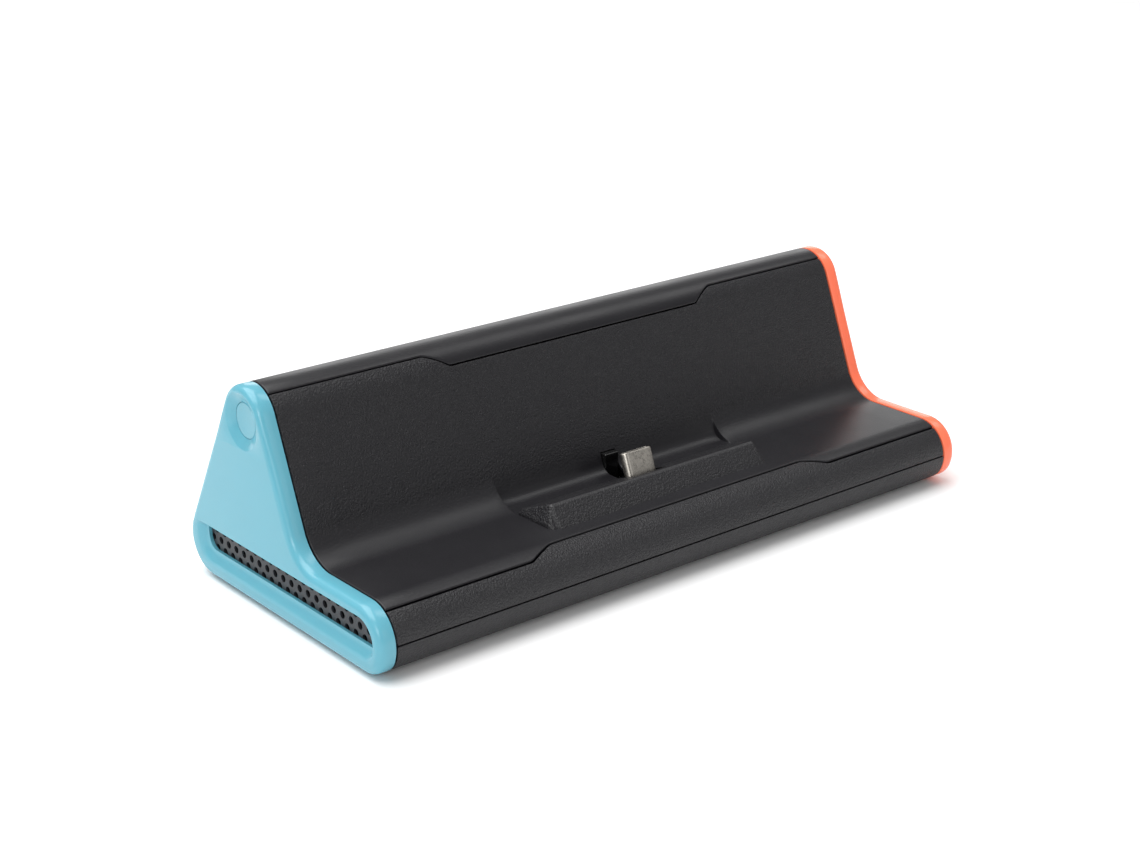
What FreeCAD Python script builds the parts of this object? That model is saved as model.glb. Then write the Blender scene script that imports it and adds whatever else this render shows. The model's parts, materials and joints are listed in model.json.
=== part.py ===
import FreeCAD, Part
import math
import os
import re

import Sketcher
from FreeCAD import Placement, Rotation, Vector

# A charging and speaker dock for a handheld games console.
#
# The dock is a long hollow body of triangular section. The console stands on the shelf in front, leans on
# the backrest and takes the USB-C plug that rises between them. Each end is closed by a coloured cap with
# a push button near the ridge and a speaker grille low down. Millimetres; X runs along the dock, the user
# sits on the -Y side, Z is up, and the origin is on the table under the middle of the dock.

SIZES = {
    # Whole dock
    "overall_length": 165.0,
    "overall_depth": 73.7,
    "overall_height": 48.8,
    "foot_proud": 0.8,           # rubber feet below the end caps
    # Section, the same along the whole length
    "shelf_rise": 14.36,         # shelf above the underside of the caps
    "shelf_run": 29.31,          # nose to the line where shelf and backrest planes meet
    "back_lean": 21.2,           # backrest from the vertical, degrees
    "nose_lean": 17.8,           # undercut of the nose, degrees
    "nose_round": 7.7,
    "front_round": 5.78,
    "rear_round": 7.9,
    "apex_round": 7.58,
    "cradle_round": 9.59,
    # Shells and their seams
    "wall": 2.0,
    "seam_gap": 0.12,
    "fit": 0.15,                 # clearance between fixed parts that slide together
    "base_rise": 6.8,            # seam of the base cover above the underside of the caps
    "base_inset": 0.5,           # underside of the base cover above that of the caps
    "top_seam_set": 4.45,        # seam under the ridge, in front of the ridge's centre line
    "top_seam_step": 2.3,
    "top_jog_out": 41.0,
    "top_jog_in": 35.4,
    "front_seam_set": 3.62,      # seam on the nose, behind its foremost line
    "front_seam_step": 2.9,
    "front_jog_out": 42.5,
    "front_jog_in": 36.0,
    # End caps
    "cap_width": 3.9,
    "cap_plate": 2.0,
    "cap_wall": 2.0,
    "cap_edge": 1.8,
    "groove_width": 0.35,
    "groove_depth": 0.8,
    "dish_round": 6.2,
    "dish_depth": 1.15,
    "button_round": 3.85,
    "button_gap": 0.15,
    "button_travel": 0.5,
    "button_flange": 0.85,       # lip that keeps the button behind the cap
    "stem_round": 1.4,
    # Speaker slot in the cap: reach from the centres of the nose and rear rounds
    "slot_front": 4.65,
    "slot_rear": 1.35,
    "slot_floor": 6.0,
    "slot_roof": 11.4,
    "slot_toe": 1.1,
    "slot_brow": 4.2,
    "slot_heel": 3.0,
    "slot_tip": 0.8,
    "recess_depth": 1.2,
    "recess_front": 0.8,
    "recess_rear": 3.0,
    "recess_floor": 3.0,
    "recess_roof": 0.7,
    "recess_toe": 3.9,
    "recess_brow": 4.9,
    "recess_heel": 5.2,
    "recess_tip": 1.5,
    # Speaker grille
    "grille_sheet": 0.5,
    "grille_margin": 0.7,
    "grille_hole": 0.825,
    "grille_pitch": 3.165,
    "grille_row": 2.13,
    "grille_first": 0.75,        # first hole behind the centre of the rear round
    "grille_low": 6.41,
    "grille_columns": 20,
    # End frames and what they carry
    "frame_wall": 1.5,
    "frame_depth": 8.6,
    "baffle": 2.0,
    "peg_round": 2.0,
    "pilot_round": 1.0,
    "screw_play": 0.25,
    "board_sheet": 1.0,
    "switch_side": 4.5,
    "switch_deep": 2.5,
    "plunger_round": 1.2,
    "plunger_play": 0.05,
    "plunger_proud": 0.8,
    # Speakers
    "speaker_run": 21.5,         # axis behind the shelf-to-backrest line
    "speaker_rise": 18.4,
    "speaker_round": 11.0,
    "speaker_rim": 1.4,
    "speaker_deep": 7.5,
    "gasket": 0.5,
    "magnet_round": 7.2,
    "magnet_deep": 4.0,
    "pole_round": 2.2,
    "coil_round": 2.75,
    "coil_sheet": 0.3,
    "cone_sheet": 0.4,
    # Console well and ledge
    "well_half": 31.8,
    "well_round": 3.0,
    "ledge_right": 29.5,         # ends of the ledge on each side of the dock's middle
    "ledge_left": 31.65,
    "ledge_front": 10.68,        # foot of the ledge behind the nose's foremost line
    "ledge_rise": 4.38,
    "ledge_slope": 49.2,         # front face from the horizontal, degrees
    "ledge_corner": 2.4,         # round between the ledge's front face and its left end
    # Plug and its rocker
    "plug_wide": 8.25,
    "plug_thick": 2.4,
    "plug_sheet": 0.3,
    "plug_stand": 9.7,           # plug's middle in front of the backrest
    "plug_rise": 3.87,           # plug's tip above the shelf line, along the backrest
    "plug_drop": 13.5,           # pivot below the tip, along the plug
    "plug_root": 1.3,            # foot of the metal shell above the pivot
    "rocker_half": 5.4,
    "rocker_thick": 4.6,
    "rocker_clear": 0.308,       # rocker's top edge below the shelf's wall
    "rocker_foot": 2.5,
    "pin_round": 0.8,
    "pin_play": 0.05,
    "ear_sheet": 2.0,
    "ear_gap": 1.8,
    "ear_half": 3.2,
    "ear_rise": 1.6,
    "bracket_half": 16.2,
    "bracket_sheet": 1.4,
    "bracket_rise": 1.4,         # bracket plate above the base floor
    "bracket_boss": 12.6,
    "backstop_half": 2.0,
    "backstop_proud": 1.6,
    "backstop_thick": 2.7,
    "backstop_rise": 4.15,
    "window_half": 4.6,
    "window_front": 2.9,
    "window_rear": 2.3,
    # Base, bosses, feet and screws
    "boss_round": 3.0,
    "boss_across": 50.0,
    "boss_front": 16.85,         # front bosses behind the nose's foremost line
    "boss_rear": 3.0,            # rear bosses in front of the rear round's centre
    "boss_seat": 2.0,            # top of the base's screw seats above the base floor
    "seat_round": 3.6,
    "screw_head": 2.2,
    "head_deep": 1.2,
    "screw_grip": 6.0,
    "foot_round": 4.5,
    "foot_sink": 0.5,
    "foot_across": 62.0,
    "foot_front": 12.5,
    "foot_rear": 10.5,
    # Main board and power inlet
    "board_half": 30.0,
    "board_deep": 27.0,
    "board_back": 4.05,          # board's rear edge behind the rear round's centre
    "board_rise": 5.0,
    "main_sheet": 1.2,
    "post_round": 2.2,
    "post_inset": 3.5,
    "inlet_wide": 8.94,
    "inlet_thick": 3.26,
    "inlet_sheet": 0.3,
    "inlet_long": 7.3,
    "inlet_proud": 2.5,
    "inlet_opening": 0.45,
    "wire_round": 0.7,
}

doc = FreeCAD.newDocument("speaker_dock")
sheet = doc.addObject("Spreadsheet::Sheet", "Sizes")
for row, (size_name, number) in enumerate(SIZES.items(), start=1):
    sheet.set(f"A{row}", size_name)
    sheet.set(f"B{row}", str(number))
    sheet.setAlias(f"B{row}", size_name)
doc.recompute()

HOLLOW = "hollow"               # marks a round that bends inwards
PARTS = []                      # the finished sub-parts, in the order they are made


# ---------------------------------------------------------------- formulas

def formula(words):
    """Point every size named in a formula at its cell in the sheet."""
    def cell(name):
        return f"Sizes.{name[0]}" if name[0] in SIZES else name[0]
    return re.sub(r"[a-z_][a-z_0-9]*", cell, words)


def value(words):
    """The number that a formula gives now."""
    result = sheet.evalExpression(formula(words))
    return float(getattr(result, "Value", result))


# Lines and points of the section that other pieces are placed from (y and z formulas)
GROUND = "foot_proud"
SHELF_Z = "(foot_proud + shelf_rise)"
FRONT_EDGE = "(-overall_depth/2)"
CORNER_Y = "(shelf_run - overall_depth/2)"
NOSE_Y = "(nose_round - overall_depth/2)"
NOSE_Z = f"({SHELF_Z} - nose_round)"
REAR_Y = "(overall_depth/2 - rear_round)"
REAR_Z = "(foot_proud + rear_round)"
APEX_Z = "(overall_height - apex_round)"
APEX_Y = f"({CORNER_Y} + ({APEX_Z} - {SHELF_Z})*tan(back_lean) + apex_round/cos(back_lean))"
CRADLE_Z = f"({SHELF_Z} + cradle_round)"
CRADLE_Y = f"({CORNER_Y} + cradle_round*tan(back_lean) - cradle_round/cos(back_lean))"
FRONT_Z = "(foot_proud + front_round)"
FRONT_Y = (f"({NOSE_Y} - (nose_round - front_round"
           f" + sin(nose_lean)*({FRONT_Z} - {NOSE_Z}))/cos(nose_lean))")
SEAM_Z = "(foot_proud + base_rise)"
FLOOR_Z = "(foot_proud + wall)"                    # inside floor of the base cover
UNDERSIDE_Z = "(foot_proud + base_inset)"
CAP_X = "(-overall_length/2)"                      # outer face of the left cap
INNER_X = f"({CAP_X} + cap_plate)"
FRAME_X = f"({CAP_X} + cap_width)"
BODY_X = f"({FRAME_X} + groove_width)"
BAFFLE_X = f"({FRAME_X} + frame_depth)"            # rear face of the baffle
BOSS_Z = f"({FLOOR_Z} + boss_seat)"
BRACKET_Z = f"({FLOOR_Z} + bracket_rise)"
PLATE_Z = f"({BRACKET_Z} + bracket_sheet)"         # top of the bracket's plate
PIVOT_Y = f"({CORNER_Y} + (plug_rise - plug_drop)*sin(back_lean) - plug_stand*cos(back_lean))"
PIVOT_Z = f"({SHELF_Z} + (plug_rise - plug_drop)*cos(back_lean) + plug_stand*sin(back_lean))"
ROCKER_TOP = (f"(({SHELF_Z} - wall - {PIVOT_Z} - rocker_clear - rocker_thick/2*sin(back_lean))"
              f"/cos(back_lean))")
PLUG_Y = f"({PIVOT_Y} + ({SHELF_Z} - {PIVOT_Z})*tan(back_lean))"     # plug's middle at the shelf
BOARD_Z = f"({FLOOR_Z} + board_rise)"
BOARD_Y = f"({REAR_Y} + board_back)"               # rear edge of the main board
INLET_Z = f"({BOARD_Z} + main_sheet + inlet_thick/2)"
SPEAKER_Y = f"({CORNER_Y} + speaker_run)"
SPEAKER_Z = "(foot_proud + speaker_rise)"
CREST_Y = f"({FRONT_EDGE} + ledge_front + ledge_rise/tan(ledge_slope))"
LEDGE_REAR = f"({CORNER_Y} - cradle_round*tan(45 - back_lean/2) - 0.1)"     # where the fillet starts
SLOT_FRONT = f"({NOSE_Y} - slot_front)"
SLOT_REAR = f"({REAR_Y} + slot_rear)"
SLOT_LOW = "(foot_proud + slot_floor)"
SLOT_HIGH = "(foot_proud + slot_roof)"
BACKSTOP_Y = f"({CORNER_Y} + backstop_rise*tan(back_lean) - backstop_proud)"
PEGS = [                                           # where the caps are screwed to the end frames
    (f"({CORNER_Y} + 8.0)", f"({SHELF_Z} + 1.8)"),
    (f"({REAR_Y} - 2.0)", f"({REAR_Z} + 6.7)"),
    (f"({APEX_Y} - 1.2)", f"({APEX_Z} - 9.2)"),
]


# ---------------------------------------------------------------- drawing and building

def make_body(label, place=None, angle=None):
    """A new sub-part. place is its x, y, z formulas, and angle tips its z axis back towards +Y."""
    body = doc.addObject("PartDesign::Body", label)
    body.Label = label
    body.AllowCompound = True
    if place:
        tip = Rotation(Vector(-1, 0, 0), value(angle)) if angle else Rotation()
        body.Placement = Placement(Vector(*[value(words) for words in place]), tip)
        for axis, words in zip("xyz", place):
            body.setExpression(f"Placement.Base.{axis}", formula(words))
    if angle:
        body.setExpression("Placement.Rotation.Angle", formula(angle))
    return body


def origin_item(body, role):
    """One of the body's own origin planes or axes."""
    return next(item for item in body.Origin.OriginFeatures if item.Role == role)


def draw(body, plane, lift="0"):
    """An empty sketch on an origin plane of the body, lifted along the plane's normal."""
    sketch = body.newObject("Sketcher::SketchObject", body.Label + "_sketch")
    sketch.AttachmentSupport = (origin_item(body, plane), [""])
    sketch.MapMode = "FlatFace"
    if lift != "0":
        sketch.AttachmentOffset = Placement(Vector(0, 0, value(lift)), Rotation())
        sketch.setExpression("AttachmentOffset.Base.z", formula(lift))
    return sketch


def bind(sketch, constraint, words):
    """Add a dimension to the sketch and bind it to its formula."""
    index = sketch.addConstraint(constraint)
    sketch.setExpression(f"Constraints[{index}]", formula(words))


def hold(sketch, geometry, point, across, up):
    """Hold a point of the sketch at its two formulas."""
    bind(sketch, Sketcher.Constraint("DistanceX", -1, 1, geometry, point, value(across)), across)
    bind(sketch, Sketcher.Constraint("DistanceY", -1, 1, geometry, point, value(up)), up)


def loop(sketch, corners):
    """A closed outline, anticlockwise: sharp corners (across, up) and rounds (across, up, radius) that
    are joined by the lines tangent to both, with HOLLOW after a round that bends inwards."""
    count = len(corners)
    centres = [Vector(value(corner[0]), value(corner[1]), 0) for corner in corners]
    radii = [value(corner[2]) * (-1 if HOLLOW in corner else 1) if len(corner) > 2 else 0.0
             for corner in corners]
    leaves = []
    arrives = []
    for index in range(count):
        follower = (index + 1) % count
        run = centres[follower] - centres[index]
        heading = math.atan2(run.y, run.x) - math.asin((radii[follower] - radii[index]) / run.Length)
        left = Vector(-math.sin(heading), math.cos(heading), 0)
        leaves.append(centres[index] - left * radii[index])
        arrives.append(centres[follower] - left * radii[follower])
    lines = [sketch.addGeometry(Part.LineSegment(start, end)) for start, end in zip(leaves, arrives)]
    for index, corner in enumerate(corners):
        before = lines[index - 1]
        after = lines[index]
        if not radii[index]:
            sketch.addConstraint(Sketcher.Constraint("Coincident", before, 2, after, 1))
            hold(sketch, after, 1, corner[0], corner[1])
            continue
        ends = [arrives[index - 1] - centres[index], leaves[index] - centres[index]]
        first, last = (1, 2) if radii[index] > 0 else (2, 1)
        angles = [math.atan2(end.y, end.x) for end in ends][::1 if first == 1 else -1]
        circle = Part.Circle(centres[index], Vector(0, 0, 1), abs(radii[index]))
        arc = sketch.addGeometry(Part.ArcOfCircle(circle, angles[0], angles[1]))
        sketch.addConstraint(Sketcher.Constraint("Tangent", before, 2, arc, first))
        sketch.addConstraint(Sketcher.Constraint("Tangent", arc, last, after, 1))
        hold(sketch, arc, 3, corner[0], corner[1])
        bind(sketch, Sketcher.Constraint("Radius", arc, abs(radii[index])), corner[2])


def rectangle(sketch, left, low, right, high):
    """A rectangle between two corners."""
    loop(sketch, [(left, low), (right, low), (right, high), (left, high)])


def soft_rectangle(sketch, wide, high, radius, across="0", up="0"):
    """A rectangle with rounded corners, centred on a point."""
    places = [("-", "-"), ("+", "-"), ("+", "+"), ("-", "+")]
    loop(sketch, [(f"({across} {x} ({wide}/2 - {radius}))", f"({up} {y} ({high}/2 - {radius}))", radius)
                  for x, y in places])


def stadium(sketch, wide, thick, across="0", up="0"):
    """A flat-sided oval, as wide and thick as the two formulas say."""
    loop(sketch, [(f"({across} - ({wide} - {thick})/2)", up, f"({thick}/2)"),
                  (f"({across} + ({wide} - {thick})/2)", up, f"({thick}/2)")])


def circle_at(sketch, across, up, radius):
    """A whole circle."""
    shape = Part.Circle(Vector(value(across), value(up), 0), Vector(0, 0, 1), value(radius))
    index = sketch.addGeometry(shape)
    hold(sketch, index, 3, across, up)
    bind(sketch, Sketcher.Constraint("Radius", index, value(radius)), radius)


def pad(body, sketch, length, both_ways=False, backwards=False):
    """Add the sketch's area, drawn out along its normal."""
    feature = body.newObject("PartDesign::Pad", body.Label + "_pad")
    feature.Profile = sketch
    feature.SideType = "Symmetric" if both_ways else "One side"
    feature.Reversed = backwards
    feature.Length = value(length)
    feature.setExpression("Length", formula(length))
    body.Tip = feature
    return feature


def pad_to_wall(body, sketch):
    """Add the sketch's area, drawn out along its normal as far as the first wall it meets."""
    feature = body.newObject("PartDesign::Pad", body.Label + "_boss")
    feature.Profile = sketch
    feature.Type = "UpToFirst"
    body.Tip = feature


def pocket(body, sketch, length, forwards=False):
    """Cut the sketch's area to a depth, against its normal unless told forwards."""
    feature = body.newObject("PartDesign::Pocket", body.Label + "_pocket")
    feature.Profile = sketch
    feature.Reversed = forwards
    feature.Length = value(length)
    feature.setExpression("Length", formula(length))
    body.Tip = feature


def cut_through(body, sketch):
    """Cut the sketch's area through the whole body, both ways."""
    feature = body.newObject("PartDesign::Pocket", body.Label + "_cut")
    feature.Profile = sketch
    feature.SideType = "Symmetric"
    feature.Type = "ThroughAll"
    body.Tip = feature


def turn(body, outline):
    """A solid of revolution about the body's own X axis, from (along, radius) formulas."""
    sketch = draw(body, "XY_Plane")
    loop(sketch, outline)
    feature = body.newObject("PartDesign::Revolution", body.Label + "_turned")
    feature.Profile = sketch
    feature.ReferenceAxis = (origin_item(body, "X_Axis"), [""])
    feature.Angle = 360
    body.Tip = feature


def keep(part):
    """Add a finished sub-part to the ones that are written out."""
    PARTS.append(part)
    return part


def mirror(left_part):
    """The right-hand twin of a left-hand sub-part."""
    label = left_part.Label.replace("left_", "right_")
    twin = doc.addObject("Part::Mirroring", label)
    twin.Label = label
    twin.Source = left_part
    twin.Normal = (1, 0, 0)
    twin.Base = (0, 0, 0)
    return keep(twin)


def both_sides(across, up):
    """A place and its mirror image across the middle of the dock."""
    return [(f"(-{across})", up), (across, up)]


# ---------------------------------------------------------------- section

def section(inset="0"):
    """The dock's outline, inset by a distance from the outer surface."""
    return [
        (FRONT_Y, FRONT_Z, f"(front_round - {inset})"),
        (REAR_Y, REAR_Z, f"(rear_round - {inset})"),
        (APEX_Y, APEX_Z, f"(apex_round - {inset})"),
        (CRADLE_Y, CRADLE_Z, f"(cradle_round + {inset})", HOLLOW),
        (NOSE_Y, NOSE_Z, f"(nose_round - {inset})"),
    ]


def make_shell(label):
    """A body that starts as the whole hollow section, as long as the black shells are."""
    body = make_body(label)
    sketch = draw(body, "YZ_Plane")
    loop(sketch, section())
    loop(sketch, section("wall"))
    pad(body, sketch, f"(-2*{BODY_X})", both_ways=True)
    return body


def cut_band(body, low, high):
    """Remove everything between two heights."""
    sketch = draw(body, "YZ_Plane")
    rectangle(sketch, "(-overall_depth)", low, "overall_depth", high)
    cut_through(body, sketch)


def cut_beyond(body, outer, inner, jog_out, jog_in, far):
    """Remove the side of a seam that reaches to far. The seam steps from outer to inner at its jogs."""
    sketch = draw(body, "XY_Plane")
    loop(sketch, [
        ("(-overall_length)", far), ("(-overall_length)", outer), (f"(-{jog_out})", outer),
        (f"(-{jog_in})", inner), (jog_in, inner), (jog_out, outer),
        ("overall_length", outer), ("overall_length", far),
    ])
    cut_through(body, sketch)


def cut_at_top_seam(body, side, far):
    """Trim a shell at the seam under the ridge."""
    outer = f"({APEX_Y} - top_seam_set {side} seam_gap/2)"
    cut_beyond(body, outer, f"({outer} - top_seam_step)", "top_jog_out", "top_jog_in", far)


def cut_at_front_seam(body, side, far):
    """Trim a shell at the seam on the nose."""
    outer = f"({FRONT_EDGE} + front_seam_set {side} seam_gap/2)"
    cut_beyond(body, outer, f"({outer} + front_seam_step)", "front_jog_out", "front_jog_in", far)


def add_bosses(body, places, low, grip):
    """Screw bosses that hang from the wall above down to a level, each with a pilot hole."""
    sketch = draw(body, "XY_Plane", low)
    for across, along in places:
        circle_at(sketch, across, along, "boss_round")
    pad_to_wall(body, sketch)
    sketch = draw(body, "XY_Plane", low)
    for across, along in places:
        circle_at(sketch, across, along, "pilot_round")
    pocket(body, sketch, grip, forwards=True)


FRONT_BOSSES = both_sides("boss_across", f"({FRONT_EDGE} + boss_front)")
REAR_BOSSES = both_sides("boss_across", f"({REAR_Y} - boss_rear)")
BRACKET_BOSSES = both_sides("bracket_boss", PIVOT_Y)


# ---------------------------------------------------------------- black shells

def cradle_panel():
    """Backrest, fillet and shelf in one moulding, with the well and windows for console and plug."""
    body = make_shell("cradle_panel")
    cut_band(body, "(-overall_height)", f"({SEAM_Z} + seam_gap + boss_seat)")
    cut_at_top_seam(body, "-", "overall_depth")
    cut_at_front_seam(body, "+", "(-overall_depth)")
    rib = draw(body, "YZ_Plane")
    loop(rib, [
        (f"({CORNER_Y} - 7)", f"({SHELF_Z} - wall/2)"),
        (f"({CORNER_Y} + wall*0.8)", f"({SHELF_Z} - wall*1.2)"),
        (f"({CORNER_Y} + 7*sin(back_lean) + wall/2*cos(back_lean))",
         f"({SHELF_Z} + 7*cos(back_lean) - wall/2*sin(back_lean))"),
        (CORNER_Y, SHELF_Z),
    ])
    pad(body, rib, "(2*well_half + 4*wall)", both_ways=True)
    well = draw(body, "YZ_Plane")
    reach = "(cradle_round*tan(45 - back_lean/2) - 0.4)"
    loop(well, [
        (f"({CORNER_Y} - {reach})", SHELF_Z),
        (f"({CORNER_Y} + well_round*tan(back_lean) - well_round/cos(back_lean))",
         f"({SHELF_Z} + well_round)", "well_round"),
        (f"({CORNER_Y} + {reach}*sin(back_lean))", f"({SHELF_Z} + {reach}*cos(back_lean))"),
        (f"({CORNER_Y} - {reach})", f"({SHELF_Z} + {reach}*cos(back_lean))"),
    ])
    feature = body.newObject("PartDesign::Pocket", "console_well")
    feature.Profile = well
    feature.SideType = "Symmetric"
    feature.Length = value("2*well_half")
    feature.setExpression("Length", formula("2*well_half"))
    body.Tip = feature
    add_bosses(body, FRONT_BOSSES, BOSS_Z, "(screw_grip + 1)")
    add_bosses(body, BRACKET_BOSSES, PLATE_Z, "(screw_grip - 1)")
    window = draw(body, "XY_Plane")
    rectangle(window, "(-window_half)", f"({PLUG_Y} - window_front)",
              "window_half", f"({PLUG_Y} + window_rear)")
    cut_through(body, window)
    slot = draw(body, "YZ_Plane")
    rectangle(slot, f"({PLUG_Y} + window_rear - wall/2)", SEAM_Z,
              f"({BACKSTOP_Y} + backstop_thick + fit)", f"({SHELF_Z} + backstop_rise + fit)")
    feature = body.newObject("PartDesign::Pocket", "backstop_slot")
    feature.Profile = slot
    feature.SideType = "Symmetric"
    feature.Length = value("2*(backstop_half + fit)")
    feature.setExpression("Length", formula("2*(backstop_half + fit)"))
    body.Tip = feature
    return keep(body)


def rear_shell():
    """Ridge and sloping back in one moulding, with the opening for the power inlet."""
    body = make_shell("rear_shell")
    cut_band(body, "(-overall_height)", f"({SEAM_Z} + seam_gap/2)")
    cut_at_top_seam(body, "+", "(-overall_depth)")
    add_bosses(body, REAR_BOSSES, BOSS_Z, "(screw_grip + 1)")
    opening = draw(body, "XZ_Plane")
    stadium(opening, "(inlet_wide + 2*inlet_opening)", "(inlet_thick + 2*inlet_opening)", up=INLET_Z)
    cut_through(body, opening)
    return keep(body)


def front_bumper():
    """Rounded strip along the nose, between the front seam and the base cover."""
    body = make_shell("front_bumper")
    cut_band(body, "(-overall_height)", f"({SEAM_Z} + seam_gap/2)")
    cut_at_front_seam(body, "-", "overall_depth")
    return keep(body)


def base_cover():
    """Shallow tray under the dock, with foot recesses, screw seats and posts for the main board."""
    body = make_shell("base_cover")
    cut_band(body, f"({SEAM_Z} - seam_gap/2)", "(2*overall_height)")
    cut_band(body, "(-overall_height)", UNDERSIDE_Z)
    seats = draw(body, "XY_Plane", UNDERSIDE_Z)
    for across, along in FRONT_BOSSES + REAR_BOSSES:
        circle_at(seats, across, along, "seat_round")
    pad(body, seats, f"({BOSS_Z} - {UNDERSIDE_Z})")
    posts = draw(body, "XY_Plane", UNDERSIDE_Z)
    for across, along in BOARD_POSTS:
        circle_at(posts, across, along, "post_round")
    pad(body, posts, f"({BOARD_Z} - {UNDERSIDE_Z})")
    holes = draw(body, "XY_Plane")
    for across, along in FRONT_BOSSES + REAR_BOSSES:
        circle_at(holes, across, along, "(pilot_round + screw_play)")
    cut_through(body, holes)
    sinks = draw(body, "XY_Plane", f"({BOSS_Z} - 1.5)")
    for across, along in FRONT_BOSSES + REAR_BOSSES:
        circle_at(sinks, across, along, "(screw_head + screw_play)")
    pocket(body, sinks, "(overall_height/2)")
    pilots = draw(body, "XY_Plane", BOARD_Z)
    for across, along in BOARD_POSTS:
        circle_at(pilots, across, along, "pilot_round")
    pocket(body, pilots, "(board_rise - 0.5)")
    recesses = draw(body, "XY_Plane", f"({UNDERSIDE_Z} + foot_sink)")
    for across, along in FEET:
        circle_at(recesses, across, along, "(foot_round + fit)")
    pocket(body, recesses, "overall_height")
    return keep(body)


BOARD_POSTS = (both_sides("(board_half - post_inset)", f"({BOARD_Y} - post_inset)")
               + both_sides("(board_half - post_inset)", f"({BOARD_Y} - board_deep + post_inset)"))
FEET = (both_sides("foot_across", f"({FRONT_EDGE} + foot_front)")
        + both_sides("foot_across", "(overall_depth/2 - foot_rear)"))


# ---------------------------------------------------------------- ledge

def ledge_pad():
    """Wedge that the console's lower edge rests on, with the plug's window and a rounded left end."""
    body = make_body("ledge_pad")
    profile = draw(body, "YZ_Plane", "(-ledge_left)")
    foot = f"({FRONT_EDGE} + ledge_front)"
    crest = f"({SHELF_Z} + ledge_rise)"
    loop(profile, [
        (foot, SHELF_Z),
        (LEDGE_REAR, SHELF_Z),
        (LEDGE_REAR, f"({crest} - ({LEDGE_REAR} - {CREST_Y})*tan(back_lean))"),
        (CREST_Y, crest),
    ])
    pad(body, profile, "(ledge_left + ledge_right)")
    doc.recompute()
    wedge = body.Tip
    corner = [f"Edge{number}" for number, edge in enumerate(wedge.Shape.Edges, start=1)
              if edge.BoundBox.XMax < 0.01 - value("ledge_left")
              and edge.BoundBox.YMax < value(CREST_Y) + 0.01 and edge.BoundBox.ZLength > 1]
    rounding = body.newObject("PartDesign::Fillet", "ledge_end")
    rounding.Base = (wedge, corner)
    rounding.Radius = value("ledge_corner")
    rounding.setExpression("Radius", formula("ledge_corner"))
    body.Tip = rounding
    window = draw(body, "XY_Plane")
    rectangle(window, "(-window_half)", f"({PLUG_Y} - window_front)",
              "window_half", f"({PLUG_Y} + window_rear + wall/2)")
    cut_through(body, window)
    slot = draw(body, "XY_Plane")
    rectangle(slot, "(-backstop_half - fit)", PLUG_Y, "(backstop_half + fit)", "overall_depth")
    cut_through(body, slot)
    return keep(body)


# ---------------------------------------------------------------- end caps

SLOT_ROUNDS = ("slot_toe", "slot_heel", "slot_tip", "slot_brow")


def slot_outline(front="0", rear="0", low="0", high="0", rounds=SLOT_ROUNDS):
    """The speaker slot's outline, grown by a margin on each side, with its four corner rounds."""
    toe, heel, tip, brow = rounds
    left = f"({SLOT_FRONT} - {front})"
    right = f"({SLOT_REAR} + {rear})"
    floor = f"({SLOT_LOW} - {low})"
    roof = f"({SLOT_HIGH} + {high})"
    return [
        (f"({left} + {toe})", f"({floor} + {toe})", toe),
        (f"({right} - {heel})", f"({floor} + {heel})", heel),
        (f"({right} - {tip})", f"({roof} - {tip})", tip),
        (f"({left} + {brow})", f"({roof} - {brow})", brow),
    ]


def loft_cut(body, outer, inner):
    """Cut a hollow that narrows from one sketch to another."""
    feature = body.newObject("PartDesign::SubtractiveLoft", body.Label + "_hollow")
    feature.Profile = outer
    feature.Sections = [inner]
    body.Tip = feature


def left_end_cap():
    """Coloured cap: rounded rim, finger dish near the ridge, recessed speaker slot and screw pegs."""
    body = make_body("left_end_cap")
    outline = draw(body, "YZ_Plane", CAP_X)
    loop(outline, section())
    pad(body, outline, "cap_width")
    doc.recompute()
    block = body.Tip
    rim = [f"Edge{number}" for number, edge in enumerate(block.Shape.Edges, start=1)
           if edge.BoundBox.XMax < value(CAP_X) + 0.01]
    rounding = body.newObject("PartDesign::Fillet", "cap_rim")
    rounding.Base = (block, rim)
    rounding.Radius = value("cap_edge")
    rounding.setExpression("Radius", formula("cap_edge"))
    body.Tip = rounding
    inside = draw(body, "YZ_Plane", INNER_X)
    loop(inside, section("cap_wall"))
    pocket(body, inside, "cap_width", forwards=True)
    slot = draw(body, "YZ_Plane", INNER_X)
    loop(slot, slot_outline())
    cut_through(body, slot)
    mouth = draw(body, "YZ_Plane", CAP_X)
    loop(mouth, slot_outline("recess_front", "recess_rear", "recess_floor", "recess_roof",
                             ("recess_toe", "recess_heel", "recess_tip", "recess_brow")))
    throat = draw(body, "YZ_Plane", f"({CAP_X} + recess_depth)")
    loop(throat, slot_outline())
    loft_cut(body, mouth, throat)
    dish = draw(body, "YZ_Plane", CAP_X)
    circle_at(dish, APEX_Y, APEX_Z, "dish_round")
    dish_floor = draw(body, "YZ_Plane", f"({CAP_X} + dish_depth)")
    circle_at(dish_floor, APEX_Y, APEX_Z, "(button_round + button_gap)")
    loft_cut(body, dish, dish_floor)
    hole = draw(body, "YZ_Plane", INNER_X)
    circle_at(hole, APEX_Y, APEX_Z, "(button_round + button_gap)")
    pocket(body, hole, "cap_plate")
    pegs = draw(body, "YZ_Plane", INNER_X)
    for along, up in PEGS:
        circle_at(pegs, along, up, "peg_round")
    peg_length = f"({BAFFLE_X} - baffle - {INNER_X})"
    pad(body, pegs, peg_length)
    pilots = draw(body, "YZ_Plane", f"({BAFFLE_X} - baffle)")
    for along, up in PEGS:
        circle_at(pilots, along, up, "pilot_round")
    pocket(body, pilots, "(screw_grip + fit)")
    return keep(body)


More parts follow.
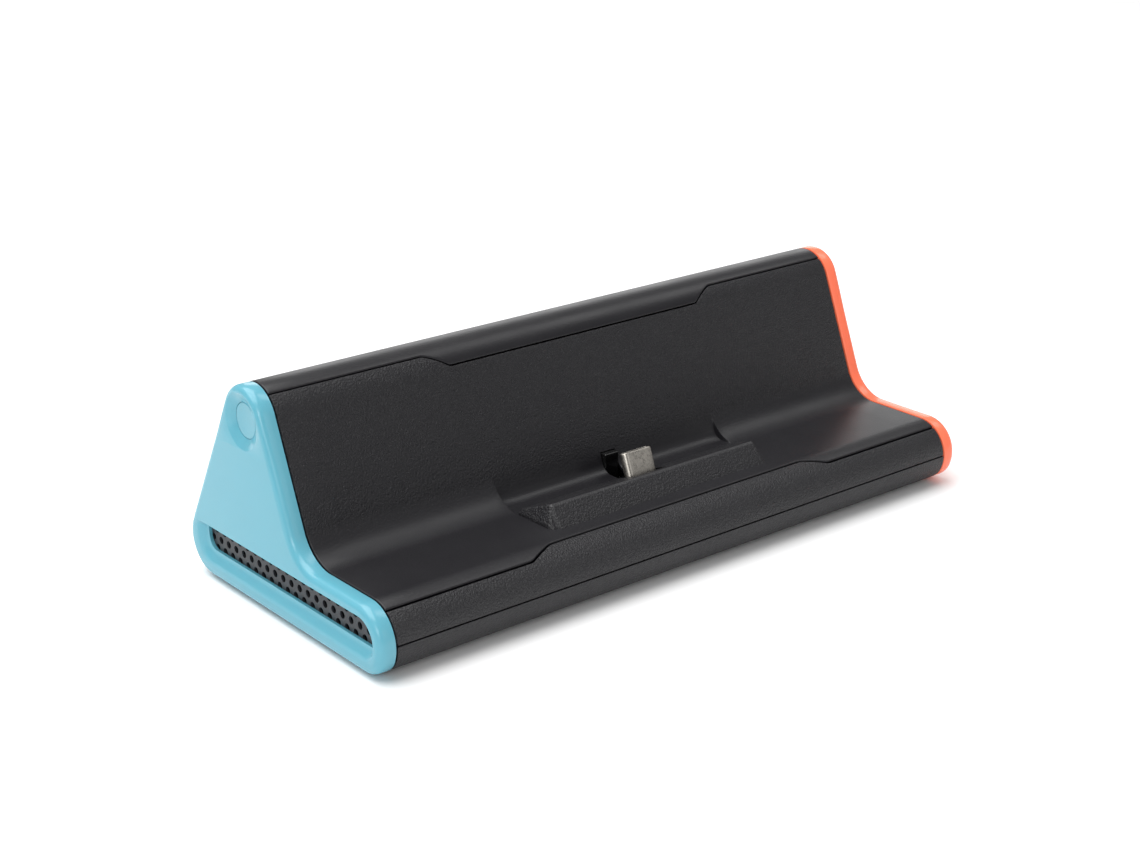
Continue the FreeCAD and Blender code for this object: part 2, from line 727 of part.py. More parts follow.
def left_grille():
    """Perforated metal strip behind the speaker slot, in staggered rows."""
    body = make_body("left_grille")
    outline = draw(body, "YZ_Plane", INNER_X)
    margin = "grille_margin"
    rounds = [f"({name} + {margin})" for name in SLOT_ROUNDS]
    loop(outline, slot_outline(margin, margin, margin, margin, rounds))
    pad(body, outline, "grille_sheet")
    first = draw(body, "YZ_Plane", INNER_X)
    start = f"({REAR_Y} + grille_first)"
    shifted = f"({start} - grille_pitch/2)"
    low = "(foot_proud + grille_low)"
    circle_at(first, shifted, low, "grille_hole")
    circle_at(first, start, f"({low} + grille_row)", "grille_hole")
    circle_at(first, shifted, f"({low} + 2*grille_row)", "grille_hole")
    pocket(body, first, "(2*grille_sheet)", forwards=True)
    row = body.newObject("PartDesign::LinearPattern", "grille_rows")
    row.Originals = [body.Tip]
    row.Direction = (origin_item(body, "Y_Axis"), [""])
    row.Reversed = True
    row.Occurrences = int(value("grille_columns"))
    row.setExpression("Occurrences", formula("grille_columns"))
    row.Length = value("grille_pitch*(grille_columns - 1)")
    row.setExpression("Length", formula("grille_pitch*(grille_columns - 1)"))
    body.Tip = row
    return keep(body)


def left_end_frame():
    """Cup that closes the end of the shells: a flange in the groove, a spigot and the speaker baffle."""
    body = make_body("left_end_frame")
    flange = draw(body, "YZ_Plane", FRAME_X)
    loop(flange, section("groove_depth"))
    pad(body, flange, "groove_width")
    spigot = draw(body, "YZ_Plane", BODY_X)
    loop(spigot, section("(wall + fit)"))
    pad(body, spigot, f"({BAFFLE_X} - {BODY_X})")
    cup = draw(body, "YZ_Plane", FRAME_X)
    loop(cup, section("(wall + fit + frame_wall)"))
    pocket(body, cup, "(frame_depth - baffle)", forwards=True)
    opening = draw(body, "YZ_Plane", FRAME_X)
    circle_at(opening, SPEAKER_Y, SPEAKER_Z, "(speaker_round - speaker_rim)")
    cut_through(body, opening)
    holes = draw(body, "YZ_Plane", FRAME_X)
    for along, up in PEGS:
        circle_at(holes, along, up, "(pilot_round + screw_play)")
    cut_through(body, holes)
    return keep(body)


# ---------------------------------------------------------------- buttons

BUTTON_AT = (CAP_X, APEX_Y, APEX_Z)
LIP = "(cap_plate + 0.1)"                          # front of the button's lip, behind the cap's plate
PLUNGER_TIP = "(cap_width + frame_depth - baffle - board_sheet - switch_deep - plunger_proud)"


def left_button():
    """Push button: a disc in the dish, a lip behind the plate and a stem to the switch."""
    body = make_body("left_button", BUTTON_AT)
    turn(body, [
        ("dish_depth", "0"),
        (PLUNGER_TIP, "0"),
        (PLUNGER_TIP, "stem_round"),
        (f"({LIP} + 0.8)", "stem_round"),
        (f"({LIP} + 0.8)", "(button_round + button_flange)"),
        (LIP, "(button_round + button_flange)"),
        (LIP, "button_round"),
        ("dish_depth", "button_round"),
    ])
    return keep(body)


def left_button_board():
    """Small board on the front of the baffle, under the switch."""
    body = make_body("left_button_board")
    sketch = draw(body, "YZ_Plane", f"({BAFFLE_X} - baffle - board_sheet)")
    rectangle(sketch, f"({APEX_Y} - 3)", f"({APEX_Z} - 6.8)", f"({APEX_Y} + 3)", f"({APEX_Z} + 1.8)")
    pad(body, sketch, "board_sheet")
    return keep(body)


def left_button_switch():
    """Housing of the tactile switch, bored for its plunger."""
    body = make_body("left_button_switch")
    sketch = draw(body, "YZ_Plane", f"({BAFFLE_X} - baffle - board_sheet - switch_deep)")
    soft_rectangle(sketch, "switch_side", "switch_side", "0.4", APEX_Y, APEX_Z)
    pad(body, sketch, "switch_deep")
    bore = draw(body, "YZ_Plane", f"({BAFFLE_X} - baffle - board_sheet - switch_deep)")
    circle_at(bore, APEX_Y, APEX_Z, "(plunger_round + plunger_play)")
    pocket(body, bore, "(switch_deep - 0.5)", forwards=True)
    return keep(body)


def left_switch_plunger():
    """Plunger of the tactile switch, which the button's stem pushes in."""
    body = make_body("left_switch_plunger", BUTTON_AT)
    end = f"({PLUNGER_TIP} + plunger_proud + switch_deep - 0.6 - button_travel)"
    turn(body, [(PLUNGER_TIP, "0"), (end, "0"), (end, "plunger_round"), (PLUNGER_TIP, "plunger_round")])
    return keep(body)


# ---------------------------------------------------------------- speakers

SPEAKER_AT = (f"({BAFFLE_X} + gasket)", SPEAKER_Y, SPEAKER_Z)
CONE_EDGE = "(speaker_round - speaker_rim - 0.2)"


def left_speaker_gasket():
    """Foam ring between the speaker and the baffle."""
    body = make_body("left_speaker_gasket", (BAFFLE_X, SPEAKER_Y, SPEAKER_Z))
    hole = "(speaker_round - speaker_rim + 0.3)"
    turn(body, [("0", hole), ("gasket", hole), ("gasket", "speaker_round"), ("0", "speaker_round")])
    return keep(body)


def left_speaker_frame():
    """Basket of the speaker: a rim and a steep cone with four windows down to the magnet's seat."""
    body = make_body("left_speaker_frame", SPEAKER_AT)
    inner_rim = "(speaker_round - speaker_rim + 0.3)"
    turn(body, [
        ("0", inner_rim),
        ("0.7", inner_rim),
        ("(speaker_deep - 1.2)", "(magnet_round - 0.3)"),
        ("(speaker_deep - 0.8)", "(coil_round + 0.25)"),
        ("speaker_deep", "(coil_round + 0.25)"),
        ("speaker_deep", "(magnet_round + 0.3)"),
        ("(speaker_deep - 1)", "(magnet_round + 0.3)"),
        ("1", "(speaker_round - 0.6)"),
        ("1", "speaker_round"),
        ("0", "speaker_round"),
    ])
    window = draw(body, "YZ_Plane", "2")
    rectangle(window, "(-2)", "(magnet_round - 1)", "2", "speaker_round")
    pocket(body, window, "(speaker_deep - 4)", forwards=True)
    ring = body.newObject("PartDesign::PolarPattern", "basket_windows")
    ring.Originals = [body.Tip]
    ring.Axis = (origin_item(body, "X_Axis"), [""])
    ring.Angle = 360
    ring.Occurrences = 4
    body.Tip = ring
    return keep(body)


def left_speaker_magnet():
    """Magnet with its back plate, and the pole that stands in the voice coil."""
    body = make_body("left_speaker_magnet", SPEAKER_AT)
    turn(body, [
        ("(speaker_deep - 1.5)", "0"),
        ("(speaker_deep + magnet_deep)", "0"),
        ("(speaker_deep + magnet_deep)", "magnet_round"),
        ("speaker_deep", "magnet_round"),
        ("speaker_deep", "(coil_round + 0.25)"),
        ("(speaker_deep + 1)", "(coil_round + 0.25)"),
        ("(speaker_deep + 1)", "pole_round"),
        ("(speaker_deep - 1.5)", "pole_round"),
    ])
    return keep(body)


def left_speaker_cone():
    """Diaphragm with its dust cap and voice coil."""
    body = make_body("left_speaker_cone", SPEAKER_AT)
    coil_inner = "(coil_round - coil_sheet)"
    neck = "(speaker_deep - 3.5)"
    turn(body, [
        (f"({neck} - 1.1)", "0"),
        (f"({neck} - 0.7)", "0"),
        (neck, coil_inner),
        ("(speaker_deep + 0.2)", coil_inner),
        ("(speaker_deep + 0.2)", "coil_round"),
        (f"({neck} + 0.4)", "coil_round"),
        ("(0.7 + cone_sheet)", CONE_EDGE),
        ("0.7", CONE_EDGE),
        (f"({neck} - 0.5)", "coil_round"),
    ])
    return keep(body)


# ---------------------------------------------------------------- plug and its rocker

PLUG_AT = ("0", PIVOT_Y, PIVOT_Z)


def plug_shell():
    """Metal shell of the USB-C plug, along the rocker's own upward axis."""
    body = make_body("plug_shell", PLUG_AT, "back_lean")
    sketch = draw(body, "XY_Plane", "plug_root")
    stadium(sketch, "plug_wide", "plug_thick")
    stadium(sketch, "(plug_wide - 2*plug_sheet)", "(plug_thick - 2*plug_sheet)")
    pad(body, sketch, "(plug_drop - plug_root)")
    return keep(body)


def plug_insulator():
    """Moulded insulator inside the metal shell, open at the tip."""
    body = make_body("plug_insulator", PLUG_AT, "back_lean")
    sketch = draw(body, "XY_Plane", "plug_root")
    stadium(sketch, "(plug_wide - 2*plug_sheet)", "(plug_thick - 2*plug_sheet)")
    pad(body, sketch, "(plug_drop - plug_root - 0.3)")
    mouth = draw(body, "XY_Plane", "plug_drop")
    soft_rectangle(mouth, "(plug_wide - 2*plug_sheet - 0.7)", "(plug_thick - 2*plug_sheet - 0.8)", "0.3")
    pocket(body, mouth, "(plug_drop/2 - 1)")
    return keep(body)


def plug_contacts():
    """Two rows of spring contacts along the insulator's inner walls."""
    body = make_body("plug_contacts", PLUG_AT, "back_lean")
    sketch = draw(body, "XY_Plane", "(plug_drop/2 + 1.2)")
    surface = "(plug_thick/2 - plug_sheet - 0.4)"
    for place in range(12):
        left = f"({(place - 5.5) * 0.5} - 0.12)"
        right = f"({(place - 5.5) * 0.5} + 0.12)"
        rectangle(sketch, left, f"({surface} - 0.08)", right, surface)
        rectangle(sketch, left, f"(-{surface})", right, f"(0.08 - {surface})")
    pad(body, sketch, "(plug_drop/2 - 2.4)")
    return keep(body)


def plug_carrier():
    """Rocking block that holds the plug and turns on the pivot pin."""
    body = make_body("plug_carrier", PLUG_AT, "back_lean")
    block = draw(body, "XY_Plane", "(-rocker_foot)")
    soft_rectangle(block, "(2*rocker_half)", "rocker_thick", "0.6")
    pad(body, block, f"(rocker_foot + {ROCKER_TOP})")
    seat = draw(body, "XY_Plane", ROCKER_TOP)
    stadium(seat, "plug_wide", "plug_thick")
    pocket(body, seat, f"({ROCKER_TOP} - plug_root)")
    bore = draw(body, "YZ_Plane")
    circle_at(bore, "0", "0", "(pin_round + pin_play)")
    cut_through(body, bore)
    return keep(body)


def plug_pivot_pin():
    """Steel pin that the rocker turns on."""
    body = make_body("plug_pivot_pin", PLUG_AT)
    sketch = draw(body, "YZ_Plane")
    circle_at(sketch, "0", "0", "pin_round")
    pad(body, sketch, "(2*(rocker_half + ear_gap + ear_sheet))", both_ways=True)
    return keep(body)


def plug_bracket():
    """Bracket under the shelf: a plate on two bosses, with two ears for the pin and the backstop's foot."""
    body = make_body("plug_bracket")
    plate = draw(body, "XY_Plane", BRACKET_Z)
    front = f"({PIVOT_Y} - ear_half - 1)"
    loop(plate, [
        ("(-bracket_half)", front), ("bracket_half", front),
        ("bracket_half", f"({PIVOT_Y} + ear_half + 1)"), ("4", f"({PIVOT_Y} + ear_half + 1)"),
        ("4", f"({BACKSTOP_Y} + backstop_thick + 0.5)"),
        ("(-4)", f"({BACKSTOP_Y} + backstop_thick + 0.5)"),
        ("(-4)", f"({PIVOT_Y} + ear_half + 1)"), ("(-bracket_half)", f"({PIVOT_Y} + ear_half + 1)"),
    ])
    pad(body, plate, "bracket_sheet")
    ears = draw(body, "YZ_Plane")
    loop(ears, [
        (f"({PIVOT_Y} - ear_half)", BRACKET_Z),
        (f"({PIVOT_Y} + ear_half)", BRACKET_Z),
        (f"({PIVOT_Y} + ear_half - 1)", f"({PIVOT_Z} + ear_rise - 1)", "1"),
        (f"({PIVOT_Y} - ear_half + 1)", f"({PIVOT_Z} + ear_rise - 1)", "1"),
    ])
    pad(body, ears, "(2*(rocker_half + ear_gap + ear_sheet))", both_ways=True)
    between = draw(body, "XZ_Plane")
    rectangle(between, "(-rocker_half - ear_gap)", PLATE_Z, "(rocker_half + ear_gap)", "overall_height")
    cut_through(body, between)
    bore = draw(body, "YZ_Plane")
    circle_at(bore, PIVOT_Y, PIVOT_Z, "pin_round")
    cut_through(body, bore)
    holes = draw(body, "XY_Plane", BRACKET_Z)
    for across, along in BRACKET_BOSSES:
        circle_at(holes, across, along, "(pilot_round + screw_play)")
    cut_through(body, holes)
    return keep(body)


def plug_backstop():
    """Glossy post behind the plug, standing on the bracket and let into the backrest."""
    body = make_body("plug_backstop")
    post = draw(body, "XY_Plane", PLATE_Z)
    loop(post, [
        ("(-backstop_half + 0.3)", f"({BACKSTOP_Y} + 0.3)", "0.3"),
        ("(backstop_half - 0.3)", f"({BACKSTOP_Y} + 0.3)", "0.3"),
        ("backstop_half", f"({BACKSTOP_Y} + backstop_thick)"),
        ("(-backstop_half)", f"({BACKSTOP_Y} + backstop_thick)"),
    ])
    pad(body, post, f"({SHELF_Z} + backstop_rise - {PLATE_Z})")
    return keep(body)


def plug_springs():
    """Two centring springs round the pivot pin, between the rocker and the bracket's ears."""
    body = make_body("plug_springs", PLUG_AT)
    wire = "0.18"
    for side in ("-", "+"):
        sketch = draw(body, "XY_Plane")
        circle_at(sketch, f"(0 {side} (rocker_half + ear_gap/2 + 0.55))", "(pin_round + 0.6)", wire)
        coil = body.newObject("PartDesign::AdditiveHelix", "spring_coil")
        coil.Profile = sketch
        coil.ReferenceAxis = (origin_item(body, "X_Axis"), [""])
        coil.Mode = "pitch-height-angle"
        coil.Pitch = 0.5
        coil.Height = 1.1
        coil.Reversed = side == "+"
        body.Tip = coil
    return keep(body)


# ---------------------------------------------------------------- electronics

def main_board():
    """Circuit board on the base's posts."""
    body = make_body("main_board")
    sketch = draw(body, "XY_Plane", BOARD_Z)
    rectangle(sketch, "(-board_half)", f"({BOARD_Y} - board_deep)", "board_half", BOARD_Y)
    pad(body, sketch, "main_sheet")
    holes = draw(body, "XY_Plane", BOARD_Z)
    for across, along in BOARD_POSTS:
        circle_at(holes, across, along, "(pilot_round + screw_play)")
    cut_through(body, holes)
    return keep(body)


def board_components():
    """The larger components on the main board: chips, coil, capacitors and speaker connectors."""
    body = make_body("board_components")
    top = f"({BOARD_Z} + main_sheet)"
    boxes = [                    # middle across, in front of the rear edge, wide, deep, high
        (-10, 12, 7, 7, 1.0), (9, 13, 6, 6, 0.9), (20, 12, 7, 7, 3.2),
        (-26.5, 13.5, 5, 6, 4.0), (26.5, 13.5, 5, 6, 4.0), (0, 22, 9, 4, 1.6),
    ]
    for across, back, wide, deep, high in boxes:
        sketch = draw(body, "XY_Plane", top)
        soft_rectangle(sketch, str(wide), str(deep), "0.4", f"({across})", f"({BOARD_Y} - {back})")
        pad(body, sketch, str(high))
    cans = draw(body, "XY_Plane", top)
    for across in (-17, 14):
        circle_at(cans, f"({across})", f"({BOARD_Y} - 21)", "2.5")
    pad(body, cans, "5.5")
    return keep(body)


def inlet_shell():
    """Metal shell of the USB-C power inlet, facing backwards from the board's rear edge."""
    body = make_body("inlet_shell", ("0", f"({BOARD_Y} + inlet_proud - inlet_long)", INLET_Z), "90")
    back = draw(body, "XY_Plane")
    stadium(back, "inlet_wide", "inlet_thick")
    pad(body, back, "inlet_long")
    mouth = draw(body, "XY_Plane", "inlet_long")
    stadium(mouth, "(inlet_wide - 2*inlet_sheet)", "(inlet_thick - 2*inlet_sheet)")
    pocket(body, mouth, "(inlet_long - inlet_sheet)")
    return keep(body)


def inlet_tongue():
    """Contact tongue in the middle of the power inlet."""
    body = make_body("inlet_tongue", ("0", f"({BOARD_Y} + inlet_proud - inlet_long)", INLET_Z), "90")
    sketch = draw(body, "XY_Plane", "inlet_sheet")
    soft_rectangle(sketch, "(inlet_wide - 2.2)", "0.7", "0.2")
    pad(body, sketch, "(inlet_long - 1.5)")
    return keep(body)


def wire(label, ends, points):
    """An insulated lead: straight runs joined by tangent arcs, from its list of places."""
    spots = [Vector(*[value(words) for words in place]) for place in points]
    edges = []
    start = spots[0]
    for before, spot, after in zip(spots, spots[1:], spots[2:]):
        arriving = (spot - before).normalize()
        leaving = (after - spot).normalize()
        half_turn = arriving.getAngle(leaving) / 2
        reach = 0.45 * min((spot - before).Length, (after - spot).Length)
        radius = reach / math.tan(half_turn)
        inward = (leaving - arriving).normalize()
        first = spot - arriving * reach
        last = spot + leaving * reach
        middle = spot + inward * (radius / math.cos(half_turn) - radius)
        edges += [Part.LineSegment(start, first).toShape(), Part.Arc(first, middle, last).toShape()]
        start = last
    edges.append(Part.LineSegment(start, spots[-1]).toShape())
    path = Part.Wire(edges)
    profile = Part.Wire(Part.Circle(spots[0], spots[1] - spots[0], value(ends)).toShape())
    lead = doc.addObject("Part::Feature", label)
    lead.Label = label
    lead.Shape = path.makePipeShell([profile], True, False)
    lead.Placement = Placement()
    return keep(lead)


def left_speaker_wire():
    """Lead from the speaker's basket to its connector on the main board."""
    start = (f"({BAFFLE_X} + gasket + speaker_deep + magnet_deep)", f"({SPEAKER_Y} + 2)", SPEAKER_Z)
    return wire("left_speaker_wire", "wire_round", [
        start,
        (f"({start[0]} + 7)", start[1], SPEAKER_Z),
        (f"({start[0]} + 15)", f"({SPEAKER_Y} + 4)", f"({SPEAKER_Z} - 2)"),
        ("(-board_half - 3.5)", f"({BOARD_Y} - 13.5)", f"({BOARD_Z} + 3.4)"),
        ("(-board_half + 1)", f"({BOARD_Y} - 13.5)", f"({BOARD_Z} + 3.4)"),
    ])


# ---------------------------------------------------------------- feet and screws

def rubber_feet():
    """Four round feet, let into the base cover."""
    body = make_body("rubber_feet")
    sketch = draw(body, "XY_Plane")
    for across, along in FEET:
        circle_at(sketch, across, along, "foot_round")
    pad(body, sketch, f"({UNDERSIDE_Z} + foot_sink)")
    return keep(body)


def screws(label, plane, head_seat, places, grip, downwards=False):
    """A group of like screws: heads against head_seat, and shanks the other way into their bosses."""
    body = make_body(label)
    heads = draw(body, plane, head_seat)
    for across, up in places:
        circle_at(heads, across, up, "screw_head")
    pad(body, heads, "head_deep", backwards=not downwards)
    shanks = draw(body, plane, head_seat)
    for across, up in places:
        circle_at(shanks, across, up, "pilot_round")
    pad(body, shanks, grip, backwards=downwards)
    slots = draw(body, plane, f"({head_seat} {'+' if downwards else '-'} head_deep)")
    for across, up in places:
        loop(slots, [(f"({across} {x})", f"({up} {y})") for x, y in CROSS])
    pocket(body, slots, "(head_deep*0.6)", forwards=not downwards)
    return keep(body)


CROSS = [("- 0.25", "- 1.3"), ("+ 0.25", "- 1.3"), ("+ 0.25", "- 0.25"), ("+ 1.3", "- 0.25"),
         ("+ 1.3", "+ 0.25"), ("+ 0.25", "+ 0.25"), ("+ 0.25", "+ 1.3"), ("- 0.25", "+ 1.3"),
         ("- 0.25", "+ 0.25"), ("- 1.3", "+ 0.25"), ("- 1.3", "- 0.25"), ("- 0.25", "- 0.25")]


def fasteners():
    """Screws of the base, main board, bracket and end caps."""
    screws("base_screws", "XY_Plane", f"({BOSS_Z} - 1.5)", FRONT_BOSSES + REAR_BOSSES, "(screw_grip + 1.5)")
    screws("board_screws", "XY_Plane", f"({BOARD_Z} + main_sheet)", BOARD_POSTS, "(board_rise - 0.5)", True)
    screws("bracket_screws", "XY_Plane", BRACKET_Z, BRACKET_BOSSES, "(screw_grip - 1)")
    mirror(screws("left_cap_screws", "YZ_Plane", BAFFLE_X, PEGS, "(screw_grip + baffle)", True))


# ---------------------------------------------------------------- assembly and export

def build():
    """Make every sub-part."""
    cradle_panel()
    rear_shell()
    front_bumper()
    base_cover()
    ledge_pad()
    for left_part in (left_end_cap, left_grille, left_end_frame, left_button, left_button_board,
                      left_button_switch, left_switch_plunger, left_speaker_gasket, left_speaker_frame,
                      left_speaker_magnet, left_speaker_cone, left_speaker_wire):
        mirror(left_part())
    for part in (plug_shell, plug_insulator, plug_contacts, plug_carrier, plug_pivot_pin, plug_bracket,
                 plug_backstop, plug_springs, main_board, board_components, inlet_shell, inlet_tongue,
                 rubber_feet):
        part()
    fasteners()
    doc.recompute()


def check():
    """Stop if a feature failed, a cut removed nothing, or a sub-part is not a sound solid."""
    for item in doc.Objects:
        if {"Invalid", "Error"} & set(item.State):
            raise RuntimeError(f"{item.Label} failed: {item.State}")
        if item.TypeId in ("PartDesign::Pocket", "PartDesign::SubtractiveLoft"):
            if item.Shape.Volume >= item.BaseFeature.Shape.Volume - 1e-6:
                raise RuntimeError(f"{item.Label} cuts nothing")
    for part in PARTS:
        if part.Shape.isNull() or not part.Shape.isValid() or not part.Shape.Solids:
            raise RuntimeError(f"{part.Label} is not a valid solid")


def export():
    """Write each sub-part to parts/LABEL.step."""
    os.makedirs("parts", exist_ok=True)
    for part in PARTS:
        part.Shape.exportStep(f"parts/{part.Label}.step")
        print(f"{part.Label}: {len(part.Shape.Solids)} solid(s), {part.Shape.Volume:.1f} mm3")


build()
check()
export()
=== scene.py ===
import json
import math

import bmesh
import bpy
import numpy as np
from bpy.props import FloatProperty, FloatVectorProperty, PointerProperty
from mathutils import Matrix, Vector
from mathutils.geometry import tessellate_polygon


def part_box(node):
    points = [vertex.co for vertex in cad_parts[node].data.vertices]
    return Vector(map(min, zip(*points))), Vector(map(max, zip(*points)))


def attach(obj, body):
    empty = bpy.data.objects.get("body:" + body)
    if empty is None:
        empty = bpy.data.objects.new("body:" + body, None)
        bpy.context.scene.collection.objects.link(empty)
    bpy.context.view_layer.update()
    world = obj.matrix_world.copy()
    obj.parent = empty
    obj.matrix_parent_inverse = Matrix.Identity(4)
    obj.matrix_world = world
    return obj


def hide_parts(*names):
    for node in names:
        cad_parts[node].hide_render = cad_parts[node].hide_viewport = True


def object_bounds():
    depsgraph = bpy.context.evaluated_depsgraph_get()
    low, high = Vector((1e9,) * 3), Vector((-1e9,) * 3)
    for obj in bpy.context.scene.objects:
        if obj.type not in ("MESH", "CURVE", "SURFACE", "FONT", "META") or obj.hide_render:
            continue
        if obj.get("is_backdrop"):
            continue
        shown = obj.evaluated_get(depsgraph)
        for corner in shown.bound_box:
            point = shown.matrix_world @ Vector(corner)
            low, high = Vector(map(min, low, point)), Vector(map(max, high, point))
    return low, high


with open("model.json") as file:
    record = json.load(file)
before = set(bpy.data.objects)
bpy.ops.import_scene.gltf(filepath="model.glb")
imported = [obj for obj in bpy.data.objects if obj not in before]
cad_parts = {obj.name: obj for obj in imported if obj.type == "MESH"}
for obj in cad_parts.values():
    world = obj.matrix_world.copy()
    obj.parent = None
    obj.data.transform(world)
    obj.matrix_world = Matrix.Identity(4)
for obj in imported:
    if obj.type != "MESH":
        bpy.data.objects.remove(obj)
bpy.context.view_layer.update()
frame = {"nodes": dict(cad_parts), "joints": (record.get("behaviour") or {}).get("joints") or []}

bl_info = {
    "name": "Console speaker dock",
    "version": (1, 0, 0),
    "blender": (4, 5, 0),
    "location": "View3D > Sidebar > Speaker dock",
    "description": "Surfaces, finishes and studio for a charging and speaker dock, built on its CAD frame",
    "category": "Object",
}

MM = 0.001
WELD = 2e-7  # points closer than this, in metres, become one
ARC_STEPS, LINE_STEPS = 241, 121  # of the shells' section, on each round and each line
PER_ROUND = ARC_STEPS + LINE_STEPS - 1  # points from one round of it to the next
REAR, APEX, CRADLE, NOSE = 1, 2, 3, 4  # the section's rounds, counted on from the front foot's, which is 0


# ---------------------------------------------------------------- sizes and colours

def size(name, words, millimetres):
    """A length that a user may change, kept in metres."""
    return FloatProperty(name=name, description=words, default=millimetres * MM, unit="LENGTH", precision=5)


def colour(name, words, code):
    """A colour that a user may change, given as an sRGB hex code."""
    return FloatVectorProperty(name=name, description=words, subtype="COLOR", size=4, min=0, max=1,
                               default=linear(code))


def linear(code):
    """The linear colour of an sRGB hex code."""
    parts = np.array([int(code[i:i + 2], 16) for i in (1, 3, 5)]) / 255
    parts = np.where(parts <= 0.04045, parts / 12.92, ((parts + 0.055) / 1.055) ** 2.4)
    return (*map(float, parts), 1.0)


class DockSizes(bpy.types.PropertyGroup):
    """Sizes of the dock's section and of its small features, as the CAD source has them."""
    shelf_rise: size("Shelf rise", "Shelf above the underside of the caps", 14.36)
    shelf_run: size("Shelf run", "Nose to the line where shelf and backrest meet", 29.31)
    back_lean: FloatProperty(name="Back lean", description="Backrest from the vertical",
                             default=math.radians(21.2), subtype="ANGLE")
    nose_lean: FloatProperty(name="Nose lean", description="Undercut of the nose",
                             default=math.radians(17.8), subtype="ANGLE")
    nose_round: size("Nose round", "Radius of the nose", 7.7)
    front_round: size("Front round", "Radius below the nose", 5.78)
    rear_round: size("Rear round", "Radius at the foot of the back", 7.9)
    apex_round: size("Ridge round", "Radius of the ridge", 7.58)
    cradle_round: size("Cradle round", "Hollow radius between shelf and backrest", 9.59)
    wall: size("Wall", "Thickness of the black shells", 2.0)
    seam_gap: size("Seam gap", "Gap between neighbouring shells", 0.26)
    front_gap: size("Front seam gap", "Wider gap of the front seam", 0.4)
    seam_edge: size("Seam edge", "Round on the shells' edges", 0.32)
    base_rise: size("Base rise", "Seam of the base cover above the underside of the caps", 6.8)
    top_seam_set: size("Top seam", "Seam under the ridge, in front of the ridge's centre line", 4.45)
    top_seam_step: size("Top seam step", "How far the middle of the top seam drops", 2.3)
    front_seam_set: size("Front seam", "Seam on the nose, behind its foremost line", 3.62)
    front_seam_step: size("Front seam step", "How far the middle of the front seam sets back", 2.9)
    well_half: size("Well", "Half the length of the console well", 31.8)
    well_round: size("Well round", "Tighter hollow radius in the well", 3.0)
    cap_width: size("Cap width", "Length of the caps' rims along the dock", 3.9)
    cap_edge: size("Cap edge", "Round of the caps' rims", 1.8)
    cap_plate: size("Cap plate", "Thickness of the caps' outer walls", 2.0)
    dish_round: size("Dish", "Radius of the finger dish", 6.1)
    dish_depth: size("Dish depth", "Depth of the finger dish", 1.15)
    button_round: size("Button", "Radius of the push button", 3.85)
    recess_depth: size("Recess depth", "Depth of the hollow round the speaker slot", 1.2)


class DockColours(bpy.types.PropertyGroup):
    """Colours of the dock's mouldings."""
    black: colour("Black", "Pigment of the black mouldings", "#151418")
    blue: colour("Blue", "Pigment of the left cap and button", "#62AABC")
    coral: colour("Coral", "Pigment of the right cap and button", "#FF7A58")
    floor: colour("Floor", "Paint of the studio floor", "#F7F7F7")


# ---------------------------------------------------------------- section

def millimetres(value):
    """A length of the property groups as millimetres."""
    return value / MM


def node_box(name):
    """Lowest and highest corner of a CAD node in millimetres."""
    return [np.array(corner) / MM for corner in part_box(name)]


def quarter(steps):
    """Angles of a quarter turn."""
    return np.linspace(0, np.pi / 2, steps)


def section(sizes):
    """The dock's section as rounds (y, z, radius), anticlockwise from the front foot; a negative radius bends
    inwards. Neighbouring rounds are joined by the line that touches both."""
    low, high = node_box("left_end_cap")
    mm = {key: millimetres(getattr(sizes, key)) for key in (
        "shelf_rise", "shelf_run", "nose_round", "front_round", "rear_round", "apex_round", "cradle_round")}
    lean, undercut = sizes.back_lean, sizes.nose_lean
    shelf = low[2] + mm["shelf_rise"]
    corner = low[1] + mm["shelf_run"]
    nose = np.array([low[1] + mm["nose_round"], shelf - mm["nose_round"]])
    front_z = low[2] + mm["front_round"]
    front_y = nose[0] - (mm["nose_round"] - mm["front_round"]
                         + math.sin(undercut) * (front_z - nose[1])) / math.cos(undercut)
    apex_z = high[2] - mm["apex_round"]
    apex_y = corner + (apex_z - shelf) * math.tan(lean) + mm["apex_round"] / math.cos(lean)
    cradle_y = corner + mm["cradle_round"] * (math.tan(lean) - 1 / math.cos(lean))
    return [
        (front_y, front_z, mm["front_round"]),
        (high[1] - mm["rear_round"], low[2] + mm["rear_round"], mm["rear_round"]),
        (apex_y, apex_z, mm["apex_round"]),
        (cradle_y, shelf + mm["cradle_round"], -mm["cradle_round"]),
        (nose[0], nose[1], mm["nose_round"]),
    ]


def outline(rounds, arc_steps=24, line_steps=8):
    """Points and outward normals of a closed outline, anticlockwise: each round is centre + radius * normal
    while the normal turns from one tangent line to the next, and the lines join the rounds. The count of
    points doesn't depend on the radii, so that two outlines can be joined point to point."""
    centre = np.array([corner[:2] for corner in rounds], float)
    radius = np.array([corner[2] for corner in rounds], float)
    run = np.roll(centre, -1, 0) - centre
    heading = (np.arctan2(run[:, 1], run[:, 0])
               - np.arcsin((np.roll(radius, -1) - radius) / np.hypot(run[:, 0], run[:, 1])))
    before = np.roll(heading, 1)
    turn = (heading - before) % (2 * np.pi)
    turn = np.where(radius < 0, turn - 2 * np.pi, turn)
    angle = before[:, None] + turn[:, None] * np.linspace(0, 1, arc_steps) - np.pi / 2
    normal = np.stack([np.cos(angle), np.sin(angle)], axis=2)
    on_arc = centre[:, None] + radius[:, None, None] * normal
    share = (np.arange(1, line_steps) / line_steps)[None, :, None]
    leave, arrive = on_arc[:, -1:], np.roll(on_arc[:, :1], -1, 0)
    on_line = leave + (arrive - leave) * share
    points = np.concatenate([on_arc, on_line], axis=1).reshape(-1, 2)
    normals = np.concatenate([normal, np.repeat(normal[:, -1:], line_steps - 1, 1)], axis=1).reshape(-1, 2)
    return points, normals


